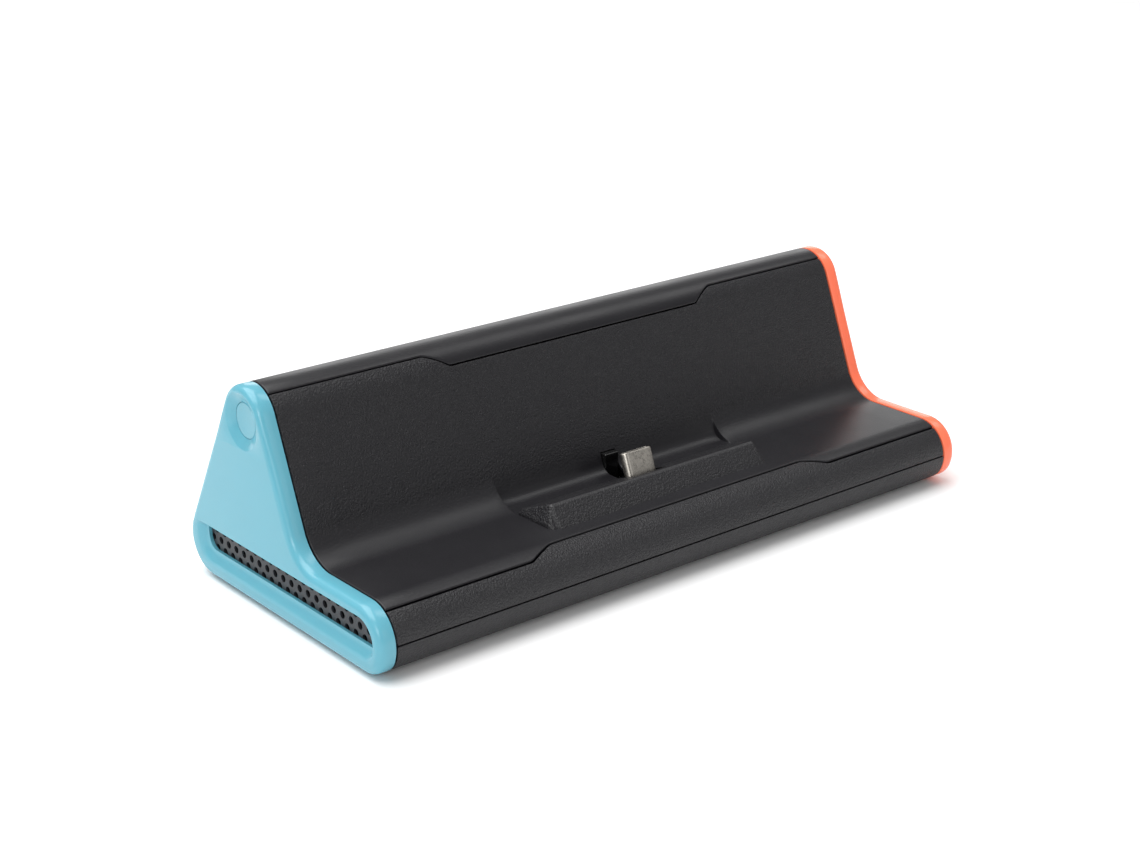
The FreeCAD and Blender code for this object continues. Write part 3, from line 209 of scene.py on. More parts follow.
def circle(across, up, radius, steps=96):
    """Points of a circle, anticlockwise."""
    angle = np.arange(steps) * 2 * np.pi / steps
    return np.stack([across + radius * np.cos(angle), up + radius * np.sin(angle)], axis=1)


def soft_box(left, right, low, top, radii):
    """A rectangle's four rounds, from the lower left, anticlockwise, with their own radii."""
    a, b, c, d = radii
    return [(left + a, low + a, a), (right - b, low + b, b), (right - c, top - c, c), (left + d, top - d, d)]


def oval(half_run, up, radius, line_steps=6):
    """Points of two half circles, whose centres lie half_run to the left and right, and the lines between."""
    return outline([(-half_run, up, radius), (half_run, up, radius)], 24, line_steps)[0]


def at(x, curve):
    """A flat curve of (y, z) placed at one x."""
    return np.insert(curve, 0, x, axis=1)


# ---------------------------------------------------------------- meshes

def grid_faces(rows, columns, closed=True):
    """Faces of a grid of rows by columns; closed joins the last column to the first."""
    row, column = np.meshgrid(np.arange(rows - 1), np.arange(columns if closed else columns - 1), indexing="ij")
    following = (column + 1) % columns
    return np.stack([row * columns + column, row * columns + following,
                     (row + 1) * columns + following, (row + 1) * columns + column], axis=2).reshape(-1, 4)


def rings(curves, cap_start=False, cap_end=False):
    """A block of points and faces from closed curves of equal count, each joined to the next, with a flat
    face over the first or last curve where asked."""
    curves = np.asarray(curves, float)
    rows, columns = curves.shape[:2]
    faces = grid_faces(rows, columns).tolist()
    if cap_start:
        faces.append(list(range(columns))[::-1])
    if cap_end:
        faces.append(list(range((rows - 1) * columns, rows * columns)))
    return curves.reshape(-1, 3), faces


def plate(outer, holes, x):
    """A block that fills the flat region at one x between an outer loop and its holes."""
    loops = [outer, *holes]
    faces = tessellate_polygon([[Vector((*point, 0)) for point in loop.tolist()] for loop in loops])
    return at(x, np.concatenate(loops)), [list(face) for face in faces]


def make_piece(name, blocks, material, body, nodes, mirrored=False, crease=30, cutters=()):
    """Joins blocks of points (millimetres) and faces into one closed piece that rides on a body and stands
    for CAD nodes. Cutters are boxes or prisms, as blocks, that are taken away from it."""
    obj = mesh_object(name, blocks, mirrored)
    obj.data.materials.append(material)
    for index, block in enumerate(cutters):
        tool = mesh_object(f"{name}_cutter_{index}", [block], mirrored)
        cut = obj.modifiers.new("cut", "BOOLEAN")
        cut.operation, cut.solver, cut.object = "DIFFERENCE", "EXACT", tool
        bpy.context.view_layer.update()
        finished = bpy.data.meshes.new_from_object(obj.evaluated_get(bpy.context.evaluated_depsgraph_get()))
        obj.modifiers.clear()
        obj.data = finished
        bpy.data.objects.remove(tool)
    obj.data.shade_smooth()
    obj.data.set_sharp_from_angle(angle=math.radians(crease))
    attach(obj, body)
    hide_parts(*nodes)
    return obj


def mesh_object(name, blocks, mirrored=False):
    """An object at the origin whose mesh is the welded blocks, with its faces turned outwards."""
    points, faces, start = [], [], 0
    for block_points, block_faces in blocks:
        points.append(np.asarray(block_points, float))
        faces += [[index + start for index in face] for face in block_faces]
        start += len(block_points)
    points = np.concatenate(points) * MM
    if mirrored:
        points = points * [-1, 1, 1]
    mesh = bpy.data.meshes.new(name)
    mesh.from_pydata(points.tolist(), [], faces)
    work = bmesh.new()
    work.from_mesh(mesh)
    bmesh.ops.remove_doubles(work, verts=work.verts, dist=WELD)
    bmesh.ops.recalc_face_normals(work, faces=work.faces)
    work.to_mesh(mesh)
    work.free()
    obj = bpy.data.objects.new(name, mesh)
    bpy.context.scene.collection.objects.link(obj)
    return obj


def box_block(low, high):
    """A plain box, used only as a cutter."""
    x, y = zip(low[:2], high[:2])
    loop = [(x[0], y[0]), (x[1], y[0]), (x[1], y[1]), (x[0], y[1])]
    return rings([[(*p, low[2]) for p in loop], [(*p, high[2]) for p in loop]], True, True)


# ---------------------------------------------------------------- black shells

def rounding(distance, radius):
    """How far a rounded edge lies below the surface: r - sqrt(r^2 - (r - distance)^2) near the edge."""
    rest = np.clip(radius - distance, 0, radius)
    return radius - np.sqrt(radius ** 2 - rest ** 2)


def seam_line(x, outer, inner, jog_out, jog_in, soft=0.6, samples=7):
    """A seam's level at each x: outer beyond its jogs and inner between them, joined by a slant whose two
    corners are softened by taking the mean over a short way to either side."""
    spread = np.linspace(-soft, soft, samples)[:, None]
    return np.interp(np.abs(x[None] + spread), [jog_in, jog_out], [inner, outer]).mean(axis=0)


def seams(sizes, x):
    """Arclengths along the section of the rear, top, front and nose seams at each x, and the section. Each
    seam is looked for on its own stretch of the section, where its y or z only rises or only falls."""
    rounds = section(sizes)
    curve, normal = outline(rounds, ARC_STEPS, LINE_STEPS)
    along = np.concatenate([[0], np.cumsum(np.hypot(*np.diff(curve, axis=0).T))])
    low = node_box("left_end_cap")[0]
    ridge = rounds[APEX][0]
    gap = millimetres(sizes.seam_gap) / 2
    top_jog, front_jog = (41.0, 35.4), (42.5, 36.0)
    rear, apex, cradle, nose, end = np.arange(REAR, NOSE + 2) * PER_ROUND
    foremost = nose + 200

    def crossing(axis, level, first, last):
        order = np.argsort(curve[first:last, axis])
        return np.interp(level, curve[first:last, axis][order], along[first:last][order])

    top = seam_line(x, ridge - millimetres(sizes.top_seam_set),
                    ridge - millimetres(sizes.top_seam_set + sizes.top_seam_step), *top_jog)
    front = seam_line(x, low[1] + millimetres(sizes.front_seam_set),
                      low[1] + millimetres(sizes.front_seam_set + sizes.front_seam_step), *front_jog)
    floor = np.full_like(x, low[2] + millimetres(sizes.base_rise))
    return {
        "rear": crossing(1, floor, rear, rear + ARC_STEPS) + gap,
        "top": crossing(0, top, apex + ARC_STEPS // 2, cradle),
        "front": crossing(0, front, cradle + ARC_STEPS, foremost),
        "nose": crossing(1, floor, nose, end) - gap,
        "gap": gap, "curve": curve, "normal": normal, "along": along,
    }


def shell_stations(sizes):
    """x of the shells' cross-sections: close together at the rounded ends, the jogs and the well's ends."""
    near_end = node_box("cradle_panel")[1][0] - millimetres(sizes.seam_edge) * (1 - np.cos(quarter(5)))
    plain, jogs, middle = np.linspace(70, 46, 5), np.linspace(43.4, 34.4, 31), np.linspace(27, 0, 8)
    well = millimetres(sizes.well_half) + np.linspace(-0.32, 0.02, 9)
    half = np.unique(np.round(np.concatenate([near_end, plain, jogs, well, middle]), 5))
    return np.concatenate([-half[::-1], half[half > 0]])


def shell_block(sizes, x, start, end, marks, spacing, shape=None):
    """A shell between two seams: the section is followed from one seam to the other at every x, its two edges
    and both ends sink by the rounding's formula, and the inner face lies one wall below."""
    edge, wall = millimetres(sizes.seam_edge), millimetres(sizes.wall)
    near = edge * (1 - np.cos(quarter(6)))
    count = int((end - start).max() / spacing)
    share = np.linspace(0, 1, count)[1:-1]
    middle = start[:, None] + edge + (end - start - 2 * edge)[:, None] * share
    along = np.concatenate([start[:, None] + near, middle, end[:, None] - near[::-1]], axis=1)
    from_edge = np.minimum(along - start[:, None], end[:, None] - along)
    from_end = (np.abs(x).max() - np.abs(x))[:, None]
    depth = rounding(from_edge, edge) + rounding(from_end, edge)
    place = [np.interp(along, marks["along"], marks["curve"][:, k]) for k in (0, 1)]
    facing = [np.interp(along, marks["along"], marks["normal"][:, k]) for k in (0, 1)]
    skin = shape(x, along, place) if shape else place
    outer = np.stack([np.broadcast_to(x[:, None], along.shape), skin[0] - facing[0] * depth,
                      skin[1] - facing[1] * depth], axis=2)
    inner = np.stack([outer[..., 0], place[0] - facing[0] * wall, place[1] - facing[1] * wall], axis=2)
    loops = np.concatenate([outer, inner[:, ::-1]], axis=1)
    points, faces = rings(loops)
    columns = loops.shape[1]
    half = columns // 2
    for row in (0, len(x) - 1):
        i = np.arange(half - 1)
        base = row * columns
        faces += np.stack([base + i, base + i + 1, base + columns - 2 - i, base + columns - 1 - i],
                          axis=1).tolist()
    return points, faces


def well_shape(sizes, marks):
    """Bends the hollow between shelf and backrest to its tighter radius inside the well. The two curves are
    matched by their share of the way round, and a smooth step of x blends them at the well's ends."""
    rounds = section(sizes)
    first = CRADLE * PER_ROUND
    last = first + ARC_STEPS - 1
    lean = sizes.back_lean
    radius, tight = -rounds[CRADLE][2], millimetres(sizes.well_round)
    shelf = rounds[CRADLE][1] - radius
    corner = np.array([node_box("left_end_cap")[0][1] + millimetres(sizes.shelf_run), shelf])
    half_turn = (np.pi / 2 - lean) / 2
    reach = radius * math.tan(half_turn)
    centre = corner + [tight * (math.tan(lean) - 1 / math.cos(lean)), tight]
    angle = np.linspace(-lean, -np.pi / 2, 40)
    arc = centre + tight * np.stack([np.cos(angle), np.sin(angle)], axis=1)
    path = np.concatenate([[corner + reach * np.array([math.sin(lean), math.cos(lean)])], arc,
                           [corner - [reach, 0]]])
    length = np.concatenate([[0], np.cumsum(np.hypot(*np.diff(path, axis=0).T))])
    half, blend = millimetres(sizes.well_half), 0.3

    def shape(x, along, place):
        share = (along - marks["along"][first]) / (marks["along"][last] - marks["along"][first])
        within = np.clip(share, 0, 1) * length[-1]
        step = np.clip((half - np.abs(x)) / blend, 0, 1)
        step = (step * step * (3 - 2 * step))[:, None] * ((share > 0) & (share < 1))
        return [p + (np.interp(within, length, path[:, k]) - p) * step for k, p in enumerate(place)]
    return shape


def plug_axis(sizes):
    """Pivot of the rocking plug in millimetres, and its upward direction in y and z."""
    joint = next(j for j in frame["joints"] if j["name"] == "plug_tilt")
    pivot = np.array(joint["pos_m"]) / MM
    return pivot, np.array([math.sin(sizes.back_lean), math.cos(sizes.back_lean)])


def plug_openings(sizes, rear=2.3):
    """Cutters for the plug's window, which ends a given distance behind the plug, and for the backstop's
    slot. They start well below the shelf, so that they go right through it."""
    pivot, way = plug_axis(sizes)
    shelf = node_box("left_end_cap")[0][2] + millimetres(sizes.shelf_rise)
    middle = pivot[1] + (shelf - pivot[2]) * way[0] / way[1]
    stop_low, stop_high = node_box("plug_backstop")
    half, front, slot_front, clear = 4.6, 2.9, 1.3, 0.15
    return [
        box_block((-half, middle - front, shelf - 5), (half, middle + rear, shelf + 9)),
        box_block((stop_low[0] - clear, middle + slot_front, shelf - 6), stop_high + clear),
    ]


# ---------------------------------------------------------------- end caps

def slot_loops(sizes):
    """Outlines of the mouth of the recess round the speaker slot and of the slot itself. They have the same
    count of points, so that weighted means of the two lie between them. The slot ends a little beyond the
    centres of the nose's and the rear foot's rounds."""
    low = node_box("left_end_cap")[0]
    rounds = section(sizes)
    past_nose, past_rear, slot_floor, slot_roof = 4.65, 1.35, 6.0, 11.4
    front, rear = rounds[NOSE][0] - past_nose, rounds[REAR][0] + past_rear
    floor, roof = low[2] + slot_floor, low[2] + slot_roof
    slot = soft_box(front, rear, floor, roof, (1.1, 3.0, 0.8, 4.2))
    mouth = soft_box(front - 0.8, rear + 3.0, floor - 3.0, roof + 0.7, (3.9, 5.2, 1.5, 4.9))
    return outline(mouth, 20, 40), outline(slot, 20, 40)


def cap_blocks(sizes):
    """The left cap as one closed surface of joined rings. Its rim sinks by a quarter ellipse, which gets
    narrower beside the finger dish by a bell curve of the distance to it. The dish sinks as a cone that is
    bowed outwards by a sine squared. The recess sinks from its mouth to the slot by a weighted mean of a straight
    line and a sine squared. Flat plates join them in front and behind."""
    face = node_box("left_end_cap")[0][0]
    tube, inside = face + millimetres(sizes.cap_width), face + millimetres(sizes.cap_plate)
    rounds = section(sizes)
    apex = rounds[APEX]
    edge, narrowed, reach = millimetres(sizes.cap_edge), 0.45, 3.0
    points, normals = outline(rounds, 40, 24)
    to_dish = np.hypot(*(points - np.array(apex[:2])).T) - apex[2]
    width = edge - narrowed * np.exp(-(to_dish / reach) ** 2)

    def loop(inset, x):
        return at(x, points - normals * np.reshape(inset, (-1, 1) if np.ndim(inset) else ()))

    rim = [loop(width * (1 - math.cos(a)), face + edge * (1 - math.sin(a))) for a in quarter(12)]
    rim_wall, bevel, bevel_middle = 2.0, 0.12, 0.035
    outside = [loop(rim_wall, inside), loop(rim_wall, tube), loop(bevel, tube),
               loop(bevel_middle, tube - bevel_middle), loop(0.0, tube - bevel), *rim]
    button_gap, first_share, bow = 0.05, 0.03, 0.05
    dish_out, dish_in = millimetres(sizes.dish_round), millimetres(sizes.button_round) + button_gap
    share = np.concatenate([[0.0], np.linspace(first_share, 1, 22)])
    radius = dish_out - (dish_out - dish_in) * share
    sink = millimetres(sizes.dish_depth) * (share - bow * np.sin(np.pi * share) ** 2)
    dish = [at(face + s, circle(apex[0], apex[1], r)) for s, r in zip(sink, radius)]
    dish.append(at(inside, circle(apex[0], apex[1], dish_in)))
    (mouth, _), (slot, slot_normal) = slot_loops(sizes)
    recess_depth, straight, lip, bend = millimetres(sizes.recess_depth), 0.35, 0.2, np.pi / 8
    share = np.linspace(0, 1, 16)
    fall = recess_depth * (straight * share + (1 - straight) * np.sin(share * np.pi / 2) ** 2)
    recess = [at(face + f, mouth + (slot - mouth) * s) for f, s in zip(fall, share)]
    recess.append(at(face + recess_depth + lip * (1 - math.cos(bend)),
                     slot - slot_normal * lip * math.sin(bend)))
    recess.append(at(inside, slot))
    front_plate = plate(rim[-1][:, 1:], [circle(apex[0], apex[1], dish_out), mouth], face)
    rear_plate = plate(outside[0][:, 1:], [circle(apex[0], apex[1], dish_in), slot], inside)
    return [rings(outside), rings(dish), rings(recess), front_plate, rear_plate]


def turned(profile, centre, axis=0, steps=96):
    """A solid of revolution: a circle for each (along, radius) of the profile, closed flat at both ends."""
    curves = []
    for along, radius in profile:
        loop = circle(0, 0, radius, steps)
        curve = np.insert(loop, axis, along, axis=1)
        curves.append(curve + centre)
    return rings(curves, True, True)


# ---------------------------------------------------------------- materials

def add(tree, kind, inputs=(), **settings):
    """Adds one node with its settings; each input takes a value or another node's output."""
    node = tree.nodes.new(kind)
    for name, value in settings.items():
        setattr(node, name, value)
    for name, value in dict(inputs).items():
        if isinstance(value, bpy.types.NodeSocket):
            tree.links.new(value, node.inputs[name])
        else:
            node.inputs[name].default_value = value
    return node


def start_material(name, **constants):
    """A material with a Principled shader whose constants are set on its own sockets, and its coordinates."""
    material = bpy.data.materials.new(name)
    material.use_nodes = True
    tree = material.node_tree
    shader = tree.nodes["Principled BSDF"]
    for key, value in constants.items():
        shader.inputs[key.replace("_", " ")].default_value = value
    place = add(tree, "ShaderNodeTexCoord").outputs["Object"]
    return material, tree, shader, place


def moulded(name, pigment, rough, grain=0.45, relief=0.03, spread=0.05, tint=0.06, fades=(), **constants):
    """A moulded plastic or rubber. Its grain is a soft cell pattern broken up by noise, as a spark-eroded or
    etched mould leaves it, with a size and relief in millimetres. The relief is drawn ten times as deep,
    because the real one is too fine to show. Roughness and pigment vary a little over some centimetres. fades
    are rows of axis, place without grain and place with full grain, in metres."""
    material, tree, shader, place = start_material(name, **constants)
    per_metre, deeper, broad_scale = 1 / (grain * MM), 10, 45.0
    crumple = add(tree, "ShaderNodeTexNoise", {"Vector": place, "Scale": per_metre, "Detail": 2.0,
                                               "Roughness": 0.6, "Distortion": 0.9}).outputs["Fac"]
    cells = add(tree, "ShaderNodeTexVoronoi", {"Vector": place, "Scale": per_metre * 0.8,
                                               "Smoothness": 0.6}, feature="SMOOTH_F1").outputs["Distance"]
    height = add(tree, "ShaderNodeMix", {"Factor": 0.45, "A": crumple, "B": cells}).outputs["Result"]
    split = add(tree, "ShaderNodeSeparateXYZ", {"Vector": place}).outputs if fades else None
    for axis, smooth, full in fades:
        share = add(tree, "ShaderNodeMapRange", {"Value": split[axis], "From Min": smooth, "From Max": full,
                                                 "To Min": 0.1, "To Max": 1.0},
                    interpolation_type="SMOOTHSTEP").outputs["Result"]
        height = add(tree, "ShaderNodeMath", {0: height, 1: share}, operation="MULTIPLY").outputs["Value"]
    bump = add(tree, "ShaderNodeBump", {"Height": height, "Strength": 1.0, "Distance": relief * MM * deeper})
    tree.links.new(bump.outputs["Normal"], shader.inputs["Normal"])
    broad = add(tree, "ShaderNodeTexNoise", {"Vector": place, "Scale": broad_scale, "Detail": 3.0}).outputs["Fac"]
    even = add(tree, "ShaderNodeMapRange", {"Value": broad, "From Min": 0.3, "From Max": 0.7,
                                            "To Min": rough - spread, "To Max": rough + spread})
    tree.links.new(even.outputs["Result"], shader.inputs["Roughness"])
    deep = tuple(channel * (1 - tint) for channel in pigment[:3]) + (1.0,)
    mixed = add(tree, "ShaderNodeMix", {"Factor": broad, "A": deep, "B": tuple(pigment)}, data_type="RGBA")
    tree.links.new(mixed.outputs["Result"], shader.inputs["Base Color"])
    return material


MATERIALS = {}


def make_materials(colours):
    """All finishes, each for the real material that it stands for."""
    made = MATERIALS
    ledge_low, ledge_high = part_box("ledge_pad")
    shelf = ledge_low.z
    # Black ABS with an etched leather grain: soft broad highlights broken into fine sparkle.
    made["grained"] = moulded("grained_black_abs", colours.black, 0.42, grain=0.34, relief=0.035,
                              Specular_IOR_Level=0.5)
    # The same ABS where one moulding has grain on the backrest and a satin shelf below it.
    made["panel"] = moulded("grained_and_satin_black_abs", colours.black, 0.40, grain=0.34, relief=0.038,
                            fades=[("Z", shelf + 0.0015, shelf + 0.0075)], Specular_IOR_Level=0.4)
    # Satin black ABS of the ridge and back: a finer spark-eroded surface, so its highlights are smooth.
    made["satin"] = moulded("satin_black_abs", colours.black, 0.36, grain=0.3, relief=0.003,
                            Specular_IOR_Level=0.4)
    # Soft TPU of the ledge: the coarsest grain, but its rubbed crest and right edge are smooth and catch light.
    made["ledge"] = moulded("grained_black_tpu", colours.black, 0.42, grain=0.38, relief=0.032,
                            fades=[("Z", ledge_high.z - 0.00025, ledge_high.z - 0.0006),
                                   ("X", ledge_high.x - 0.00035, ledge_high.x - 0.0007)],
                            Specular_IOR_Level=0.5)
    # Coloured ABS from a polished mould: smooth, with a clear soft sheen and faint flow marks.
    for tone, pigment, scatter in (("blue", colours.blue, (0.0004, 0.0008, 0.001)),
                                   ("coral", colours.coral, (0.001, 0.0006, 0.0004))):
        made[tone] = moulded(f"polished_{tone}_abs", pigment, 0.22, grain=3.0, relief=0.001, spread=0.04,
                             tint=0.03, Specular_IOR_Level=0.5, Subsurface_Weight=0.12,
                             Subsurface_Radius=scatter, Subsurface_Scale=1.0)
    # Black polycarbonate from a polished mould, nearly a mirror.
    made["gloss"] = moulded("gloss_black_polycarbonate", linear("#0B0B0C"), 0.12, grain=2.0, relief=0.0005,
                            spread=0.03)
    # Glass-filled black nylon inside: dull and slightly rough.
    made["nylon"] = moulded("black_nylon", linear("#141416"), 0.55, grain=0.25, relief=0.004)
    # Nitrile rubber feet, matt with a fine powdery surface.
    made["rubber"] = moulded("black_rubber", linear("#17171A"), 0.72, grain=0.2, relief=0.004)
    # PVC insulation of the leads, smooth and a little shiny.
    made["wire"] = moulded("black_pvc", linear("#1A1A1C"), 0.4, grain=0.6, relief=0.001)
    # Pressed paper cone, fibrous and matt.
    made["paper"] = moulded("speaker_paper", linear("#26241F"), 0.85, grain=0.4, relief=0.01)
    # Polyurethane foam gasket, matt with open cells.
    made["foam"] = moulded("foam_gasket", linear("#1B1B1B"), 0.95, grain=0.35, relief=0.03)
    # Sintered ferrite magnet with its dark, slightly granular surface.
    made["magnet"] = moulded("ferrite", linear("#2E2E31"), 0.5, grain=0.3, relief=0.004)
    # Epoxy glass board under green solder mask: glossy over a faint weave.
    made["board"] = moulded("green_circuit_board", linear("#0F4D2E"), 0.3, grain=0.5, relief=0.001, tint=0.25)
    # Moulded component bodies: matt epoxy.
    made["component"] = moulded("component_epoxy", linear("#1D1D20"), 0.5, grain=0.3, relief=0.003)
    # Nickel-plated steel of the plug, tumbled so that it is cloudy with fine scratches.
    made["nickel"] = metal("tumbled_nickel", linear("#B7B2AA"), 0.30, cloud=0.9, scratch=0.05)
    # Hard gold plating of the contacts.
    made["gold"] = metal("contact_gold", linear("#E6C06A"), 0.22, cloud=0.5, scratch=0.04)
    # Zinc-plated steel of pin, springs and screws.
    made["steel"] = metal("zinc_plated_steel", linear("#A9ACB0"), 0.32, cloud=0.8, scratch=0.08)
    # Perforated steel under dark grey paint: painted, so it isn't a bare metal to the light.
    made["grille"] = moulded("painted_grille_steel", linear("#2C2D31"), 0.45, grain=0.35, relief=0.004)


def metal(name, tone, rough, cloud, scratch):
    """A plated metal: roughness clouds over about a millimetre, and scratches, drawn out along z, roughen it
    further. They are drawn three times as wide as they are, because the real ones are too fine to show. The
    shader's IOR stays at its default."""
    material, tree, shader, place = start_material(name, Metallic=1.0, Base_Color=tone)
    wider = 3
    mist = add(tree, "ShaderNodeTexNoise", {"Vector": place, "Scale": 1 / (cloud * MM), "Detail": 5.0,
                                            "Roughness": 0.65}).outputs["Fac"]
    drawn = add(tree, "ShaderNodeMapping", {"Vector": place, "Scale": (1.0, 1.0, 0.12)}).outputs["Vector"]
    lines = add(tree, "ShaderNodeTexNoise", {"Vector": drawn, "Scale": 1 / (scratch * wider * MM),
                                             "Detail": 3.0}).outputs["Fac"]
    both = add(tree, "ShaderNodeMix", {"Factor": 0.3, "A": mist, "B": lines}).outputs["Result"]
    rough_map = add(tree, "ShaderNodeMapRange", {"Value": both, "From Min": 0.35, "From Max": 0.65,
                                                 "To Min": rough - 0.12, "To Max": rough + 0.16})
    tree.links.new(rough_map.outputs["Result"], shader.inputs["Roughness"])
    bump = add(tree, "ShaderNodeBump", {"Height": both, "Strength": 0.3, "Distance": 0.01 * MM})
    tree.links.new(bump.outputs["Normal"], shader.inputs["Normal"])
    shade = add(tree, "ShaderNodeMapRange", {"Value": mist, "From Min": 0.3, "From Max": 0.7})
    dark = tuple(channel * 0.72 for channel in tone[:3]) + (1.0,)
    mixed = add(tree, "ShaderNodeMix", {"Factor": shade.outputs["Result"], "A": dark, "B": tuple(tone)},
                data_type="RGBA")
    tree.links.new(mixed.outputs["Result"], shader.inputs["Base Color"])
    return material


NODE_FINISH = {
    "base_cover": "grained", "left_grille": "grille", "right_grille": "grille",
    "left_end_frame": "nylon", "right_end_frame": "nylon", "left_button_board": "board",
    "right_button_board": "board", "left_button_switch": "nylon", "right_button_switch": "nylon",
    "left_switch_plunger": "nylon", "right_switch_plunger": "nylon", "left_speaker_gasket": "foam",
    "right_speaker_gasket": "foam", "left_speaker_frame": "steel", "right_speaker_frame": "steel",
    "left_speaker_magnet": "magnet", "right_speaker_magnet": "magnet", "left_speaker_cone": "paper",
    "right_speaker_cone": "paper", "left_speaker_wire": "wire", "right_speaker_wire": "wire",
    "left_cap_screws": "steel", "right_cap_screws": "steel", "plug_insulator": "nylon",
    "plug_contacts": "gold", "plug_carrier": "nylon", "plug_pivot_pin": "steel", "plug_bracket": "nylon",
    "plug_springs": "steel", "main_board": "board", "board_components": "component",
    "inlet_tongue": "nylon", "base_screws": "steel", "board_screws": "steel", "bracket_screws": "steel",
}


# ---------------------------------------------------------------- operators

class BuildStep(bpy.types.Operator):
    """Common base of the build steps."""
    bl_options = {"REGISTER", "UNDO"}

    def execute(self, context):
        self.build(context.scene.dock_sizes, context.scene.dock_colours)
        return {"FINISHED"}


class DOCK_OT_finishes(BuildStep):
    """Make the materials and give each carried-over CAD node its own"""
    bl_idname = "dock.finishes"
    bl_label = "Finishes"

    def build(self, sizes, colours):
        make_materials(colours)
        for node, finish in NODE_FINISH.items():
            obj = frame["nodes"][node]
            obj.data.materials.clear()
            obj.data.materials.append(MATERIALS[finish])


class DOCK_OT_shells(BuildStep):
    """Build the cradle panel, the rear shell and the front bumper"""
    bl_idname = "dock.shells"
    bl_label = "Black shells"

    def build(self, sizes, colours):
        x = shell_stations(sizes)
        marks = seams(sizes, x)
        gap, front_gap = marks["gap"], millimetres(sizes.front_gap) / 2
        block = shell_block(sizes, x, marks["top"] + gap, marks["front"] - front_gap, marks, spacing=0.33,
                            shape=well_shape(sizes, marks))
        make_piece("cradle_skin", [block], MATERIALS["panel"], "dock", ["cradle_panel"],
                   cutters=plug_openings(sizes))
        block = shell_block(sizes, x, marks["rear"], marks["top"] - gap, marks, spacing=0.5)
        low, high = node_box("inlet_shell")
        clear, ahead, behind = 0.45, 8, 12
        middle, half = (low + high) / 2, (high - low) / 2 + clear
        opening = oval(half[0] - half[2], middle[2], half[2], line_steps=4)
        prism = rings([np.insert(opening, 1, y, axis=1) for y in (high[1] - ahead, high[1] + behind)], True, True)
        make_piece("rear_skin", [block], MATERIALS["satin"], "dock", ["rear_shell"],
                   cutters=[prism])
        block = shell_block(sizes, x, marks["front"] + front_gap, marks["nose"], marks, spacing=0.4)
        make_piece("bumper_skin", [block], MATERIALS["grained"], "dock", ["front_bumper"])


class DOCK_OT_ledge(BuildStep):
    """Build the ledge that the console's lower edge rests on"""
    bl_idname = "dock.ledge"
    bl_label = "Ledge"

    def build(self, sizes, colours):
        low, high = node_box("ledge_pad")
        rise = high[2] - low[2]
        slope, fall = math.tan(math.radians(49.2)), math.tan(sizes.back_lean)
        crest = low[1] + rise / slope
        # Rows lie close together at both ends, and columns at the ramp's foot, the crest and the rear edge.
        left = low[0] + np.concatenate([np.linspace(0, 0.3, 9), np.linspace(0.36, 3.2, 30)])
        right = high[0] - np.concatenate([np.linspace(1.6, 0.55, 8), np.linspace(0.5, 0, 16)])
        x = np.concatenate([left, np.linspace(left[-1] + 0.8, right[0] - 0.8, 64), right])[:, None]
        share = np.concatenate([np.linspace(0, 0.06, 8), np.linspace(0.075, 0.25, 14),
                                np.linspace(0.26, 0.37, 45), np.linspace(0.385, 0.9, 30),
                                np.linspace(0.91, 1, 10)])
        # At the left the ramp's foot curves back by a flattened quarter circle, with a shallow flute behind it.
        corner, flattened = 2.4, 0.92
        flute_depth, flute_start, flute_run = 0.55, 0.7, 1.9
        round_off = corner - np.sqrt(corner ** 2 - (corner - np.clip(x - low[0], 0, corner)) ** 2)
        flute = np.sin(np.pi * np.clip((x - low[0] - flute_start) / flute_run, 0, 1)) ** 2
        back = round_off * flattened + flute_depth * flute
        y = low[1] + back + (high[1] - low[1] - back) * share
        # The height over the shelf is a soft minimum of six planes, -k log(sum(exp(-h / k))): the front ramp, the
        # sloping top, the right end, the left end's foot, the slope above it, and the rear edge.
        from_left, from_right = x - low[0] + 0 * y, high[0] - x + 0 * y
        right_slope, foot_slope, left_rise, left_slope, rear_slope = 6, 9, 0.3, 1.7, 9
        planes = [(y - low[1] - back) * slope, rise + 0.02 - (y - crest) * fall, from_right * right_slope,
                  from_left * foot_slope, left_rise + from_left * left_slope, (high[1] - y) * rear_slope]
        soft, enough, sunk = 0.24, 12, 0.4
        height = -soft * np.log(sum(np.exp(-np.minimum(plane, enough) / soft) for plane in planes))
        top = np.stack([np.broadcast_to(x, y.shape), y, low[2] + np.clip(height, 0, rise)], axis=2)
        under = top.copy()
        under[..., 2] = low[2] - sunk
        rows, columns = y.shape
        upper = (top.reshape(-1, 3), grid_faces(rows, columns, closed=False).tolist())
        lower = (under.reshape(-1, 3), grid_faces(rows, columns, closed=False)[:, ::-1].tolist())
        rim = np.concatenate([np.arange(columns), np.arange(1, rows) * columns + columns - 1,
                              (rows - 1) * columns + np.arange(columns - 2, -1, -1),
                              np.arange(rows - 2, 0, -1) * columns])
        sides = rings([upper[0][rim], lower[0][rim]])
        window, slot = plug_openings(sizes, rear=3.3)
        make_piece("ledge", [upper, lower, sides], MATERIALS["ledge"], "dock", ["ledge_pad"],
                   cutters=[window, slot], crease=40)


